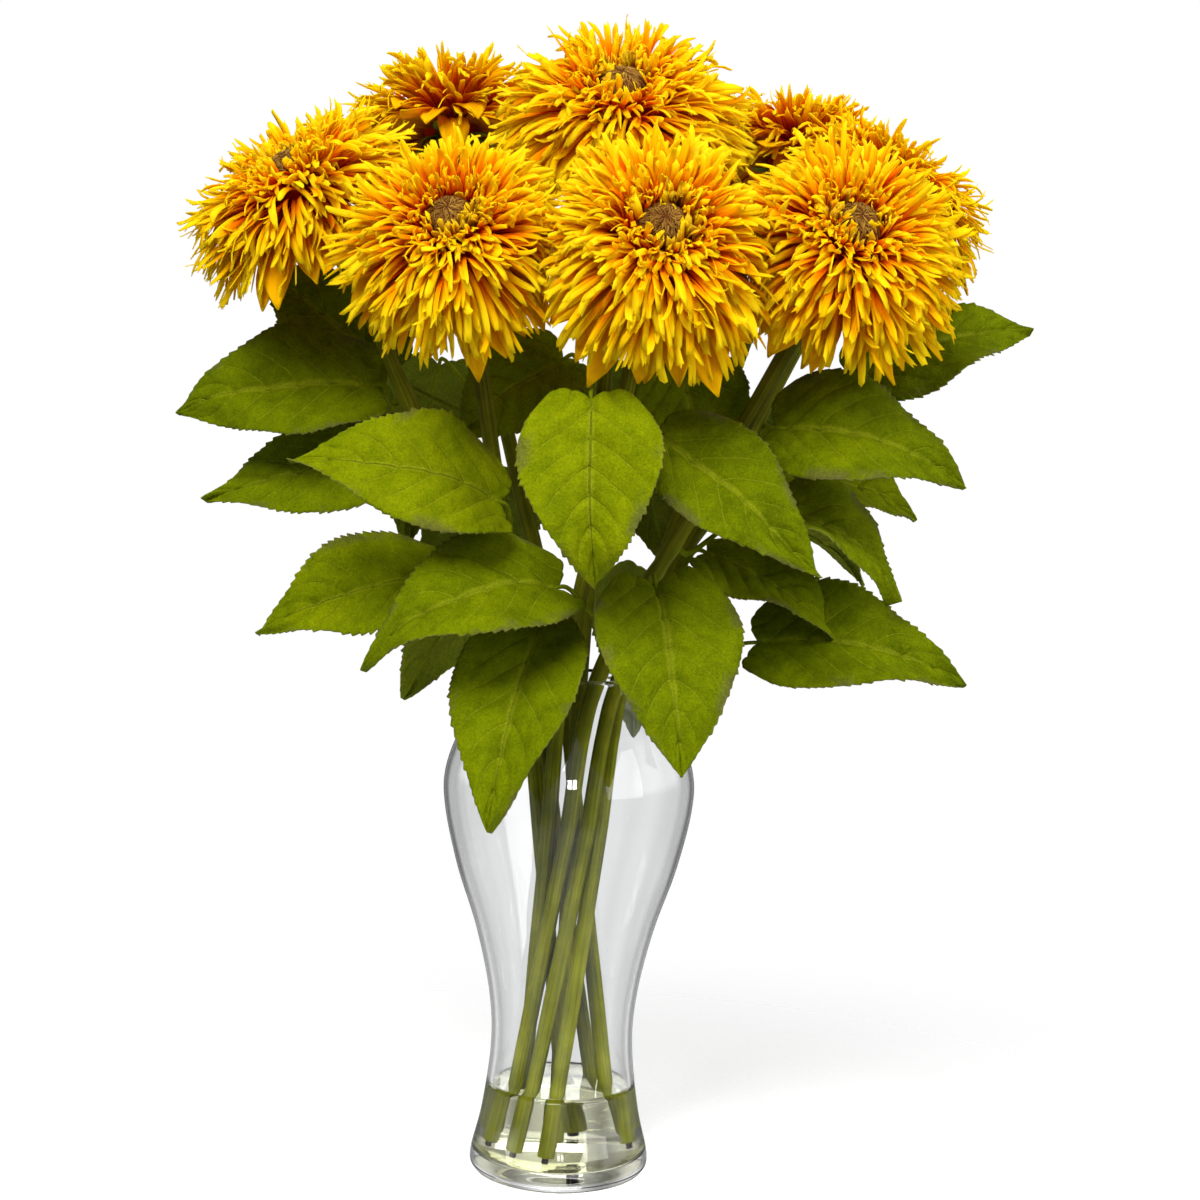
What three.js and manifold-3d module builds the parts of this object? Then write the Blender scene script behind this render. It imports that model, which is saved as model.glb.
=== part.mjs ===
// Sunflowers in a glass vase: eight double sunflower heads of cut fabric, each on a coated wire stem
// with toothed fabric leaves, standing in clear cast resin "water" in a waisted glass vase.
// Millimetres, +Z up, the front towards -Y. The origin is the centre of the vase's flat base.
import * as THREE from "three";
import { mergeVertices } from "three/addons/utils/BufferGeometryUtils.js";
import Module from "manifold-3d";

const wasm = await Module();
wasm.setup();

const V = (x, y, z) => new THREE.Vector3(x, y, z);
const UP = V(0, 0, 1);
const GAP = 0.3; // left between two pieces that touch

// ---- Driving dimensions -------------------------------------------------------------------------

// Vase: its outer outline as [radius, height], from the heel to the rim.
const VASE_OUTLINE = [
  [37, 0], [41.5, 2.5], [43, 9], [38, 31], [34.3, 62], [36, 88], [43, 119], [53, 149], [59.6, 178],
  [59.4, 197], [51.3, 218], [39.5, 233], [34.8, 241],
];
const VASE_WALL = 3;
const VASE_FLOOR = 9; // thickness of the glass under the water
const VASE_SIDES = 24;
const VASE_STEPS = 11; // along the outline
const WATER_LEVEL = 43;

// Stems: coated wire, cut square at the foot, with the steel core showing there.
const STEM_RADIUS = 3.8;
const STEM_SIDES = 6;
const STEM_STEPS = 14;
const STEM_FOOT = 13.5; // height of the cut end
const NECK_HEIGHT = 241;
const WIRE_RADIUS = 1.5;
const WIRE_BARE = 3.2; // how far the wire stands out of the cut end
const WIRE_INSIDE = 12;
const CALYX_RADIUS = 9;
const CALYX_LENGTH = 13;

// Heads: centre of the back of each bloom, the way its face looks, its size against the usual one,
// and where its stem stands in the resin (foot) and passes the vase's neck, as [x, y].
const HEADS = [
  { at: [-127, -33, 459], faces: [-0.46, -0.42, 0.78], size: 1.03, foot: [20, 16], neck: [-20, 14] },
  { at: [-70, 66, 506], faces: [-0.1, 0.4, 0.9], size: 1.0, foot: [26, -1], neck: [-6, 24] },
  { at: [-55, -84, 437], faces: [-0.1, -0.84, 0.53], size: 0.98, foot: [3, 25], neck: [-22, -6] },
  { at: [33, -93, 435], faces: [0.1, -0.87, 0.48], size: 1.04, foot: [-20, 15], neck: [-4, -22] },
  { at: [16, -10, 503], faces: [0, -0.64, 0.77], size: 1.1, foot: [-2, 2], neck: [4, 4] },
  { at: [115, -73, 440], faces: [0.22, -0.83, 0.52], size: 1.03, foot: [-26, -3], neck: [12, -22] },
  { at: [143, 26, 475], faces: [0.5, 0, 0.87], size: 1.0, foot: [-18, -17], neck: [22, -13] },
  { at: [104, 67, 497], faces: [0.15, 0.2, 0.96], size: 1.0, foot: [-5, -25], neck: [25, 1] },
];

// The bloom in its own frame, face towards +Z: a small faceted core, given as circles of
// [radius, height] from the back to the front, with a ring of petals drawn out of the facets between
// each circle and the next. Each ring: rise of the root in degrees, droop along the petal in degrees,
// length, width, and the shares of the length at which its sections are given; the last is the tip.
const PETALS_AROUND = 13;
const CORE = [[12, 0], [19, 2.5], [22, 6.5], [22, 10.5], [19.5, 14], [15.5, 16.3], [11, 17]];
const RINGS = [
  { rise: -10, droop: 46, length: 42, width: 14.5, cuts: [0.45, 0.8, 1] },
  { rise: 4, droop: 42, length: 37, width: 12, cuts: [0.45, 0.8, 1] },
  { rise: 18, droop: 38, length: 34, width: 11, cuts: [0.7, 1] },
  { rise: 33, droop: 34, length: 30, width: 10, cuts: [0.7, 1] },
  { rise: 48, droop: 30, length: 25, width: 8.5, cuts: [0.7, 1] },
  { rise: 66, droop: 24, length: 16, width: 6, cuts: [0.65, 1] },
];
const PETAL_WIDTHS = [1, 0.72]; // share of the width at each section before the tip
const LENGTH_SPREAD = 0.08; // share of the length
const HEADING_SPREAD = 0.04; // radians
const RISE_SPREAD = 2; // degrees
const TWIST_SPREAD = 0.15; // radians
const PETAL_THICKNESS = 1.1;
const PRESS_KEEP = 1.4; // nearest that a petal comes to the plane halfway to the next head
const PRESS_SOFT = 9; // distance from that plane at which petals start to bend back

// The seed disc: a low dome with a relief of florets.
const DISC_RADIUS = 9.5;
const DISC_RISE = 6;
const DISC_SIDES = 10;
const DISC_RINGS = 3;
const DISC_RELIEF = 0.45;

// Leaves: the stem that carries it and the height of its root there, where the blade starts (base) and
// ends (tip), the way its upper face looks, its width, and how far its midrib bows out of the straight
// line from base to tip.
const LEAF_ROWS = [
  // stem, root, base, tip, faces, width, bow
  [1, 372, [-100, -6, 378], [-192, -10, 363], [0, -0.85, 0.5], 66, 9],
  [1, 322, [-84, 9, 345], [-179, 8, 318], [0, -0.8, 0.6], 64, 12],
  [3, 306, [-36, -60, 326], [-126, -84, 341], [-0.1, -0.8, 0.5], 64, 14],
  [1, 274, [-64, -16, 290], [-147, -36, 261], [0, -0.8, 0.6], 58, 9],
  [6, 264, [-8, -54, 288], [-92, -88, 252], [-0.1, -0.8, 0.7], 64, 20],
  [3, 252, [-16, -46, 268], [-34, -96, 181], [-0.2, -1, 0.3], 64, 8],
  [4, 350, [6, -100, 368], [10, -110, 288], [0, -1, 0.1], 66, 10],
  [4, 330, [38, -70, 356], [107, -96, 294], [0.2, -0.9, 0.5], 58, 9],
  [6, 291, [38, -54, 288], [50, -92, 206], [0.2, -1, 0.4], 72, 8],
  [6, 340, [92, -52, 362], [176, -62, 339], [0.1, -0.85, 0.6], 64, 13],
  [7, 322, [96, 10, 343], [167, 20, 322], [0.1, -0.7, 0.7], 56, 9],
  [6, 306, [90, -24, 325], [150, -44, 285], [0.3, -0.6, 0.7], 54, 13],
  [7, 256, [90, -16, 262], [185, -30, 246], [0.1, -0.8, 0.6], 64, 13],
  [7, 286, [64, -16, 303], [122, -32, 266], [0.2, -0.6, 0.8], 54, 9],
  [7, 366, [134, 2, 390], [218, 14, 416], [0.1, -0.75, 0.65], 60, 8],
  [2, 366, [-96, 26, 388], [-158, 16, 436], [-0.3, -0.8, 0.5], 60, 8],
  [2, 372, [-74, 70, 390], [-92, 104, 298], [-0.3, 0.9, 0.3], 64, 10],
  [2, 328, [-46, 68, 336], [-54, 100, 244], [-0.1, 1, 0.3], 66, 10],
  [5, 372, [-10, 2, 392], [-60, -2, 352], [-0.1, -1, 0.3], 56, 7],
  [5, 366, [6, 47, 388], [0, 78, 298], [0, 1, 0.3], 64, 10],
  [8, 350, [84, 70, 368], [108, 106, 284], [0.2, 0.9, 0.3], 64, 10],
  [8, 300, [76, 44, 320], [150, 84, 288], [0.3, 0.5, 0.8], 60, 12],
  [8, 268, [38, 42, 288], [34, 78, 206], [0, 1, 0.3], 64, 10],
  [5, 402, [46, -28, 392], [66, -12, 322], [0.1, -1, 0.2], 60, 6],
  [2, 262, [-38, 44, 278], [-88, 66, 222], [-0.3, 0.9, 0.3], 56, 10],
  [5, 346, [28, 46, 370], [44, 58, 294], [0.1, 1, 0.3], 56, 8],
];
const LEAVES = LEAF_ROWS.map(([stem, root, base, tip, faces, width, bow]) => {
  return { stem, root, base, tip, faces, width, bow };
});
const LEAF_TEETH = 7; // on each side
const LEAF_STATIONS = 5; // across the blade, from the base to the tip
const LEAF_THICKNESS = 0.8;
const LEAF_FOLD = 12; // degrees that each half of the blade rises from the midrib
const PETIOLE_JOIN = 0.03; // share of the length by which the blade's sides start behind its midrib
const LOBE = 0.07; // share of the length that the blade's two round lobes reach back past the petiole
const LEAF_WAVE = 2.5; // how far the margin waves up and down
const PETIOLE_HALF = 1.2; // half the width and thickness of the petiole
const PETIOLE_BEND = 8; // length over which it turns into the midrib

const COLOURS = {
  vase: { color: 0xdfe6e4, roughness: 0.03, metalness: 0, transparent: true, opacity: 0.3 },
  water: { color: 0xd8d6b4, roughness: 0.05, metalness: 0, transparent: true, opacity: 0.45 },
  stem: { color: 0x55641c, roughness: 0.6, metalness: 0 },
  wire: { color: 0x17191a, roughness: 0.5, metalness: 0.7 },
  bloom: { color: 0xf6b80e, roughness: 0.8, metalness: 0 },
  disc: { color: 0x7a5a2c, roughness: 0.95, metalness: 0 },
  leaf: { color: 0x5c7a16, roughness: 0.75, metalness: 0 },
};

// ---- Helpers ------------------------------------------------------------------------------------

// The same random numbers at every run: a small generator started from a seed.
function seededRandom(seed) {
  let state = seed;
  return () => {
    state = (state * 1664525 + 1013904223) % 4294967296;
    return state / 4294967296;
  };
}

const spread = (random, amount) => (random() * 2 - 1) * amount;
const radians = THREE.MathUtils.degToRad;

// A geometry from points and triangles.
function geometryOf(points, triangles) {
  const geometry = new THREE.BufferGeometry().setFromPoints(points);
  geometry.setIndex(triangles);
  return geometry;
}

// A closed body through rings of equally many points.
function loft(rings) {
  const points = rings.flat();
  const sides = rings[0].length;
  const triangles = [];
  for (let i = 1; i < sides - 1; i++) triangles.push(0, i + 1, i);
  for (let ring = 0; ring < rings.length - 1; ring++) {
    const low = ring * sides;
    const high = low + sides;
    for (let i = 0; i < sides; i++) {
      const j = (i + 1) % sides;
      triangles.push(low + i, low + j, high + j, low + i, high + j, high + i);
    }
  }
  const start = points.length - sides;
  for (let i = 1; i < sides - 1; i++) triangles.push(start, start + i, start + i + 1);
  return geometryOf(points, triangles);
}

// A manifold-3d solid of a closed geometry.
function solidOf(geometry) {
  const bare = geometry.clone();
  bare.deleteAttribute("normal");
  bare.deleteAttribute("uv");
  const merged = mergeVertices(bare, 1e-4);
  return new wasm.Manifold(
    new wasm.Mesh({
      numProp: 3,
      vertProperties: merged.attributes.position.array,
      triVerts: new Uint32Array(merged.index.array),
    }),
  );
}

function geometryOfSolid(solid) {
  const mesh = solid.getMesh();
  const points = [];
  for (let i = 0; i < mesh.numVert; i++) points.push(V(...mesh.vertProperties.slice(i * 3, i * 3 + 3)));
  return geometryOf(points, Array.from(mesh.triVerts));
}

const group = new THREE.Group();

function addMesh(name, geometry, material) {
  const mesh = new THREE.Mesh(geometry, new THREE.MeshStandardMaterial(COLOURS[material]));
  mesh.name = name;
  group.add(mesh);
  return mesh;
}

// ---- Vase and water -----------------------------------------------------------------------------

// The outer outline as a smooth curve from the heel to the rim.
const outline = new THREE.SplineCurve(VASE_OUTLINE.map(([r, z]) => new THREE.Vector2(r, z)));

// The point that much inside it, at a share of its length.
function insideOf(t, depth) {
  const tangent = outline.getTangent(t);
  return outline.getPoint(t).add(new THREE.Vector2(-tangent.y, tangent.x).multiplyScalar(depth));
}

// Points on the inner face, or on a face that much further in, from a lower height to a higher one.
function innerFace(from, to, steps, extra = 0) {
  const fine = Array.from({ length: 400 }, (_, i) => insideOf(i / 399, VASE_WALL + extra));
  const radiusAt = (z) => fine.reduce((best, p) => (Math.abs(p.y - z) < Math.abs(best.y - z) ? p : best)).x;
  return Array.from({ length: steps + 1 }, (_, i) => {
    const z = from + ((to - from) * i) / steps;
    return new THREE.Vector2(radiusAt(z), z);
  });
}

// A lathe turned about Z, from [radius, height] points that run up the outside and down the inside.
function lathe(points, sides) {
  return new THREE.LatheGeometry(points, sides).rotateX(Math.PI / 2);
}

function vaseGeometry() {
  const outside = Array.from({ length: VASE_STEPS + 1 }, (_, i) => outline.getPoint(i / VASE_STEPS));
  const rim = outline.getPoint(1);
  const inside = innerFace(VASE_FLOOR + 4, rim.y - 2, 8).reverse();
  const profile = [
    new THREE.Vector2(0, 0),
    ...outside,
    new THREE.Vector2(rim.x - VASE_WALL * 0.5, rim.y + 1),
    ...inside,
    new THREE.Vector2(inside.at(-1).x - 3, VASE_FLOOR),
    new THREE.Vector2(0, VASE_FLOOR),
  ];
  return lathe(profile, VASE_SIDES);
}

function waterSolid(cutters) {
  const side = innerFace(VASE_FLOOR + 4, WATER_LEVEL, 3, GAP * 1.6);
  const profile = [
    new THREE.Vector2(0, VASE_FLOOR + GAP),
    new THREE.Vector2(side[0].x - 3.4, VASE_FLOOR + GAP),
    ...side,
    new THREE.Vector2(0, WATER_LEVEL),
  ];
  return cutters.reduce((water, cutter) => water.subtract(cutter), solidOf(lathe(profile, VASE_SIDES)));
}

// ---- Stems --------------------------------------------------------------------------------------

// The frame of a head: its place, and the turn that takes +Z to the way it faces.
function frameOf(head) {
  const normal = V(...head.faces).normalize();
  const turn = new THREE.Quaternion().setFromUnitVectors(UP, normal);
  return { centre: V(...head.at), normal, turn };
}

// Straight from the foot to the neck of the vase, then on to the head, which it meets square.
function stemCurve(head) {
  const { centre, normal } = frameOf(head);
  const foot = V(...head.foot, STEM_FOOT);
  const neck = V(...head.neck, NECK_HEIGHT);
  const under = centre.clone().addScaledVector(normal, -34 * head.size);
  const end = centre.clone().addScaledVector(normal, -GAP);
  const inVase = [0.33, 0.67].map((share) => foot.clone().lerp(neck, share));
  return new THREE.CatmullRomCurve3([foot, ...inVase, neck, neck.clone().lerp(under, 0.5), under, end]);
}

function ring(radius, sides) {
  return new THREE.Shape(
    Array.from({ length: sides }, (_, i) => {
      const angle = (2 * Math.PI * i) / sides;
      return new THREE.Vector2(radius * Math.cos(angle), radius * Math.sin(angle));
    }),
  );
}

function tube(curve, radius, sides, steps) {
  return new THREE.ExtrudeGeometry(ring(radius, sides), { extrudePath: curve, steps, bevelEnabled: false });
}

// A rod between two points.
function rod(from, to, radius, sides) {
  return tube(new THREE.LineCurve3(from, to), radius, sides, 1);
}

// The cup behind the bloom, which widens from the stem to the flower.
function calyxGeometry(head) {
  const { centre, turn } = frameOf(head);
  const profile = [
    [0, -CALYX_LENGTH], [STEM_RADIUS * 0.8, -CALYX_LENGTH], [CALYX_RADIUS * 0.7, -CALYX_LENGTH * 0.45],
    [CALYX_RADIUS, -GAP], [0, -GAP],
  ];
  const cup = lathe(profile.map(([r, z]) => new THREE.Vector2(r, z)), STEM_SIDES);
  cup.scale(head.size, head.size, head.size);
  return cup.applyQuaternion(turn).translate(centre.x, centre.y, centre.z);
}

function addStem(head, number) {
  const curve = stemCurve(head);
  const foot = curve.getPoint(0);
  const along = curve.getTangent(0);
  const at = (distance) => foot.clone().addScaledVector(along, distance);
  const bore = solidOf(rod(at(-1), at(WIRE_INSIDE + GAP), WIRE_RADIUS + GAP, 6));
  const rodSolid = solidOf(tube(curve, STEM_RADIUS, STEM_SIDES, STEM_STEPS));
  const stem = rodSolid.add(solidOf(calyxGeometry(head))).subtract(bore);
  addMesh(`stem_${number}`, geometryOfSolid(stem), "stem");
  addMesh(`wire_end_${number}`, rod(at(-WIRE_BARE), at(WIRE_INSIDE), WIRE_RADIUS, 6), "wire");
  const hole = solidOf(rod(at(-WIRE_BARE - GAP), at(60), STEM_RADIUS + GAP, STEM_SIDES));
  return { curve, hole };
}

// ---- Blooms -------------------------------------------------------------------------------------

// Planes halfway to the nearby heads, in this head's own frame.
function planesOf(head) {
  const { centre, turn } = frameOf(head);
  const inverse = turn.clone().invert();
  const planes = [];
  for (const other of HEADS) {
    const towards = V(...other.at).sub(centre);
    const distance = towards.length();
    if (other !== head && distance < 135) {
      planes.push({ normal: towards.normalize().applyQuaternion(inverse), half: distance / 2 });
    }
  }
  return planes;
}

// Bends a point back before the planes, so that petals of two heads press and don't cross.
function pressed(point, planes) {
  for (const { normal, half } of planes) {
    const clear = half - point.dot(normal);
    if (clear < PRESS_SOFT) {
      const span = PRESS_SOFT - PRESS_KEEP;
      const kept = PRESS_KEEP + span * Math.exp((clear - PRESS_SOFT) / span);
      point.addScaledVector(normal, clear - kept);
    }
  }
  return point;
}

// Adds a petal to a body: its three root points are there already, and its sections lie along an arc
// that rises from the core and droops towards the tip. Each has a keel below and an edge to each side.
function drawPetal(ringOf, root, angle, body, random, size, planes) {
  const heading = angle + spread(random, HEADING_SPREAD);
  const out = V(Math.cos(heading), Math.sin(heading), 0);
  const across = V(-Math.sin(heading), Math.cos(heading), 0);
  const length = ringOf.length * (1 + spread(random, LENGTH_SPREAD));
  const rise = radians(ringOf.rise + spread(random, RISE_SPREAD));
  const droop = radians(ringOf.droop + spread(random, RISE_SPREAD));
  const twist = spread(random, TWIST_SPREAD);
  const steps = 20;
  const middle = V(0, 0, 0);
  root.forEach((i) => middle.addScaledVector(body.points[i], 1 / (3 * size)));
  let last = root;
  for (let i = 1, next = 0; i <= steps; i++) {
    const slope = rise - (droop * i) / steps;
    middle.addScaledVector(out, (Math.cos(slope) * length) / steps);
    middle.addScaledVector(UP, (Math.sin(slope) * length) / steps);
    if (i / steps < ringOf.cuts[next] - 1e-9) continue;
    const normal = out.clone().multiplyScalar(-Math.sin(slope)).addScaledVector(UP, Math.cos(slope));
    const side = across.clone().multiplyScalar(Math.cos(twist)).addScaledVector(normal, Math.sin(twist));
    const half = (ringOf.width / 2) * PETAL_WIDTHS[next++];
    const place = (width) => {
      return pressed(middle.clone().addScaledVector(side, width).multiplyScalar(size), planes);
    };
    const [left, right] = [place(half), place(-half)];
    const keel = left.clone().lerp(right, 0.5).addScaledVector(normal, -PETAL_THICKNESS);
    last = extend(body, last, i === steps ? [place(0)] : [keel, left, right]);
  }
}

// Walls from the last ring of a body's points to a new ring of them, or to a tip.
function extend(body, last, section) {
  const added = section.map((point) => body.points.push(point) - 1);
  last.forEach((a, i) => {
    const b = last[(i + 1) % last.length];
    const [c, d] = added.length > 1 ? [added[i], added[(i + 1) % added.length]] : [added[0], added[0]];
    body.triangles.push(a, b, d);
    if (c !== d) body.triangles.push(a, d, c);
  });
  return added;
}

// The core's circles, each half a step on from the one before, with a plain facet standing on each of
// its edges and a petal drawn out of each facet between those.
function bloomGeometry(head, seed) {
  const random = seededRandom(seed);
  const planes = planesOf(head);
  const body = { points: [], triangles: [] };
  const angleOf = (row, i) => (2 * Math.PI * (i - row / 2)) / PETALS_AROUND;
  const circles = CORE.map(([radius, height], row) =>
    Array.from({ length: PETALS_AROUND }, (_, i) => {
      const angle = angleOf(row, i);
      const point = V(radius * Math.cos(angle), radius * Math.sin(angle), height).multiplyScalar(head.size);
      return body.points.push(point) - 1;
    }),
  );
  RINGS.forEach((ringOf, row) => {
    const [low, high] = [circles[row], circles[row + 1]];
    low.forEach((a, i) => {
      const j = (i + 1) % PETALS_AROUND;
      body.triangles.push(a, low[j], high[j]);
      drawPetal(ringOf, [a, high[j], high[i]], angleOf(row, i), body, random, head.size, planes);
    });
  });
  const [back, front] = [circles[0], circles.at(-1)];
  for (let i = 1; i < PETALS_AROUND - 1; i++) {
    body.triangles.push(back[0], back[i + 1], back[i], front[0], front[i], front[i + 1]);
  }
  return geometryOf(body.points, body.triangles);
}

// A dome whose points stand in and out by turns, as rows of florets do.
function discGeometry(size) {
  const rings = [];
  for (let row = 0; row <= DISC_RINGS; row++) {
    const lift = row / DISC_RINGS;
    const angle = (lift * Math.PI) / 2.6;
    rings.push(
      Array.from({ length: DISC_SIDES }, (_, i) => {
        const turn = (2 * Math.PI * i) / DISC_SIDES;
        const relief = row ? DISC_RELIEF * ((i + row) % 2 ? 1 : -1) : 0;
        const radius = (DISC_RADIUS * Math.cos(angle) + relief) * size;
        const height = (DISC_RISE * Math.sin(angle) + relief) * size;
        return V(radius * Math.cos(turn), radius * Math.sin(turn), height);
      }),
    );
  }
  return loft(rings);
}

function addHead(head, number) {
  const { centre, turn } = frameOf(head);
  const bloom = addMesh(`bloom_${number}`, bloomGeometry(head, 100 + number), "bloom");
  const disc = addMesh(`disc_${number}`, discGeometry(head.size), "disc");
  bloom.position.copy(centre);
  bloom.quaternion.copy(turn);
  disc.position.copy(V(0, 0, CORE.at(-1)[1] * head.size + GAP).applyQuaternion(turn).add(centre));
  disc.quaternion.copy(turn);
}

// ---- Leaves -------------------------------------------------------------------------------------

// Half the width of the blade at a share of its length, about 1 at the widest: round at the base and
// drawn out to the tip.
function blade(share) {
  return Math.pow(Math.sin(Math.PI * Math.pow(share, 0.6)), 0.85) * (1 - 0.25 * share * share);
}

// Gives the point of a leaf's middle surface at u along the midrib, from 0 to 1, and v millimetres
// across, and the way through its thickness there.
function leafPlacer(leaf) {
  const base = V(...leaf.base);
  const chord = V(...leaf.tip).sub(base);
  const along = chord.clone().normalize();
  const face = V(...leaf.faces);
  face.addScaledVector(along, -face.dot(along)).normalize();
  const side = face.clone().cross(along);
  const fold = radians(LEAF_FOLD);
  const place = (u, v) => {
    const bow = leaf.bow * 4 * u * (1 - u);
    const slope = Math.atan2(leaf.bow * 4 * (1 - 2 * u), chord.length());
    const up = face.clone().multiplyScalar(Math.cos(slope)).addScaledVector(along, -Math.sin(slope));
    const wave = LEAF_WAVE * Math.sin(3 * Math.PI * u) * Math.pow((2 * v) / leaf.width, 2) * Math.sign(v);
    const point = base.clone().addScaledVector(chord, u).addScaledVector(face, bow)
      .addScaledVector(side, v * Math.cos(fold))
      .addScaledVector(up, Math.abs(v) * Math.sin(fold) + wave);
    const through = up.clone().multiplyScalar(Math.cos(fold))
      .addScaledVector(side, -Math.sign(v) * Math.sin(fold));
    return { point, through };
  };
  return { place, side };
}

// The rows of [u, v] of one half of the blade: midrib, half way out, and the toothed margin.
function leafRows(leaf, sign) {
  const half = (sign * leaf.width) / 2;
  const rib = [];
  const middle = [];
  for (let i = 0; i <= LEAF_STATIONS; i++) {
    const share = i / LEAF_STATIONS;
    rib.push([share, 0]);
    if (i && i < LEAF_STATIONS) middle.push([share, 0.5 * half * blade(share)]);
  }
  const margin = [[-PETIOLE_JOIN, sign * PETIOLE_HALF]];
  for (let tooth = 0; tooth < LEAF_TEETH; tooth++) {
    const notch = (tooth + 0.45) / (LEAF_TEETH + 0.4);
    const point = (tooth + 0.95) / (LEAF_TEETH + 0.4);
    margin.push([tooth === 0 ? -LOBE : notch - 0.02, half * blade(notch) * 0.93]);
    margin.push([point, half * (blade(point) + 0.05)]);
  }
  return { rib, middle, margin };
}

// Triangles between two rows of points, always stepping along the row that lags.
function stitch(lower, upper, at, triangles, flip) {
  let [i, j] = [0, 0];
  while (i < lower.length - 1 || j < upper.length - 1) {
    const upperDone = j === upper.length - 1;
    const stepLower = upperDone || (i < lower.length - 1 && at[lower[i + 1]][0] <= at[upper[j + 1]][0]);
    const third = stepLower ? lower[i + 1] : upper[j + 1];
    const corner = [lower[i], third, upper[j]];
    if (new Set(corner).size === 3) triangles.push(flip ? corner.reverse() : corner);
    if (stepLower) i++;
    else j++;
  }
}

// The point of a stem's centre line at a height, and the way the stem runs there.
function stemAt(curve, height) {
  const line = curve.getSpacedPoints(STEM_STEPS);
  const next = line.findIndex((p) => p.z > height);
  const along = line[next].clone().sub(line[next - 1]);
  const point = line[next - 1].clone().addScaledVector(along, (height - line[next - 1].z) / along.z);
  return { point, along: along.normalize() };
}

// The middle line of the petiole: square out of the stem, over to the blade's base and into its midrib.
function petioleLine(leaf, stem, base, into) {
  const { point, along } = stemAt(stem, leaf.root);
  const bend = base.clone().addScaledVector(into, -PETIOLE_BEND);
  const out = bend.clone().sub(point);
  out.addScaledVector(along, -out.dot(along)).normalize();
  const start = point.clone().addScaledVector(out, STEM_RADIUS + GAP);
  return [start, start.clone().addScaledVector(out, 5), bend, base];
}

// Blade and petiole in one sheet: the points of its middle, each set off to both sides by half the
// thickness there, with the same triangles on both faces and a narrow wall round the edge.
function leafGeometry(leaf, stem) {
  const { place, side } = leafPlacer(leaf);
  const at = [];
  const sheet = [];
  const triangles = [];
  const addRow = (row) =>
    row.map(([u, v]) => {
      const { point, through } = place(u, v);
      const half = u <= 0 && Math.abs(v) <= PETIOLE_HALF ? PETIOLE_HALF : LEAF_THICKNESS / 2;
      sheet.push({ point, through: through.multiplyScalar(half) });
      return at.push([u, v]) - 1;
    });
  const rib = addRow(leafRows(leaf, 1).rib);
  const [left, right] = [1, -1].map((sign) => {
    const rows = leafRows(leaf, sign);
    const middle = [rib[0], ...addRow(rows.middle), rib.at(-1)];
    const margin = [...addRow(rows.margin), rib.at(-1)];
    stitch(rib, middle, at, triangles, sign < 0);
    stitch(middle, margin, at, triangles, sign < 0);
    return margin;
  });
  const base = sheet[rib[0]].point;
  const line = petioleLine(leaf, stem, base, place(0.1, 0).point.sub(base).normalize());
  const [near, far] = [[left[0]], [right[0]]];
  for (let i = line.length - 2; i >= 0; i--) {
    const along = line[i + 1].clone().sub(line[Math.max(i - 1, 0)]).normalize();
    const across = side.clone().addScaledVector(along, -side.dot(along)).normalize();
    const through = along.clone().cross(across).multiplyScalar(PETIOLE_HALF);
    [near, far].forEach((row, k) => {
      const point = line[i].clone().addScaledVector(across, PETIOLE_HALF * (k ? -1 : 1));
      row.push(sheet.push({ point, through }) - 1);
    });
  }
  triangles.push([rib[0], near[0], near[1]], [rib[0], near[1], far[1]], [rib[0], far[1], far[0]]);
  for (let i = 1; i < line.length - 1; i++) {
    triangles.push([near[i], near[i + 1], far[i + 1]], [near[i], far[i + 1], far[i]]);
  }
  const edge = [...right.slice(0, -1), ...left.slice(1).reverse(), ...near, ...far.slice(1).reverse()];
  return sheetGeometry(sheet, triangles, edge);
}

// A thin closed body of a sheet of points, its triangles and its edge, which runs round them the same way.
function sheetGeometry(sheet, faces, edge) {
  const top = sheet.map(({ point, through }) => point.clone().add(through));
  const bottom = sheet.map(({ point, through }) => point.clone().sub(through));
  const under = sheet.length;
  const triangles = [];
  faces.forEach(([a, b, c]) => triangles.push(a, b, c, under + a, under + c, under + b));
  edge.forEach((a, i) => {
    const b = edge[(i + 1) % edge.length];
    triangles.push(a, under + b, b, a, under + a, under + b);
  });
  return geometryOf([...top, ...bottom], triangles);
}

// ---- The object ---------------------------------------------------------------------------------

addMesh("vase", vaseGeometry(), "vase");
const stems = HEADS.map((head, i) => addStem(head, i + 1));
addMesh("water", geometryOfSolid(waterSolid(stems.map((stem) => stem.hole))), "water");
HEADS.forEach((head, i) => addHead(head, i + 1));
LEAVES.forEach((leaf, i) => {
  const name = `leaf_${String(i + 1).padStart(2, "0")}`;
  addMesh(name, leafGeometry(leaf, stems[leaf.stem - 1].curve), "leaf");
});

export default group;
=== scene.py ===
"""Sunflowers in a glass vase, dressed for a soft studio picture.

The tables of heads, leaves and the vase's outline are those of the solid model, in millimetres, +Z up, with
the front towards -Y. Meshes are built in millimetres and written in metres.
"""

import math
from collections import namedtuple

import bpy
import numpy as np
from mathutils import Matrix, Vector


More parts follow.
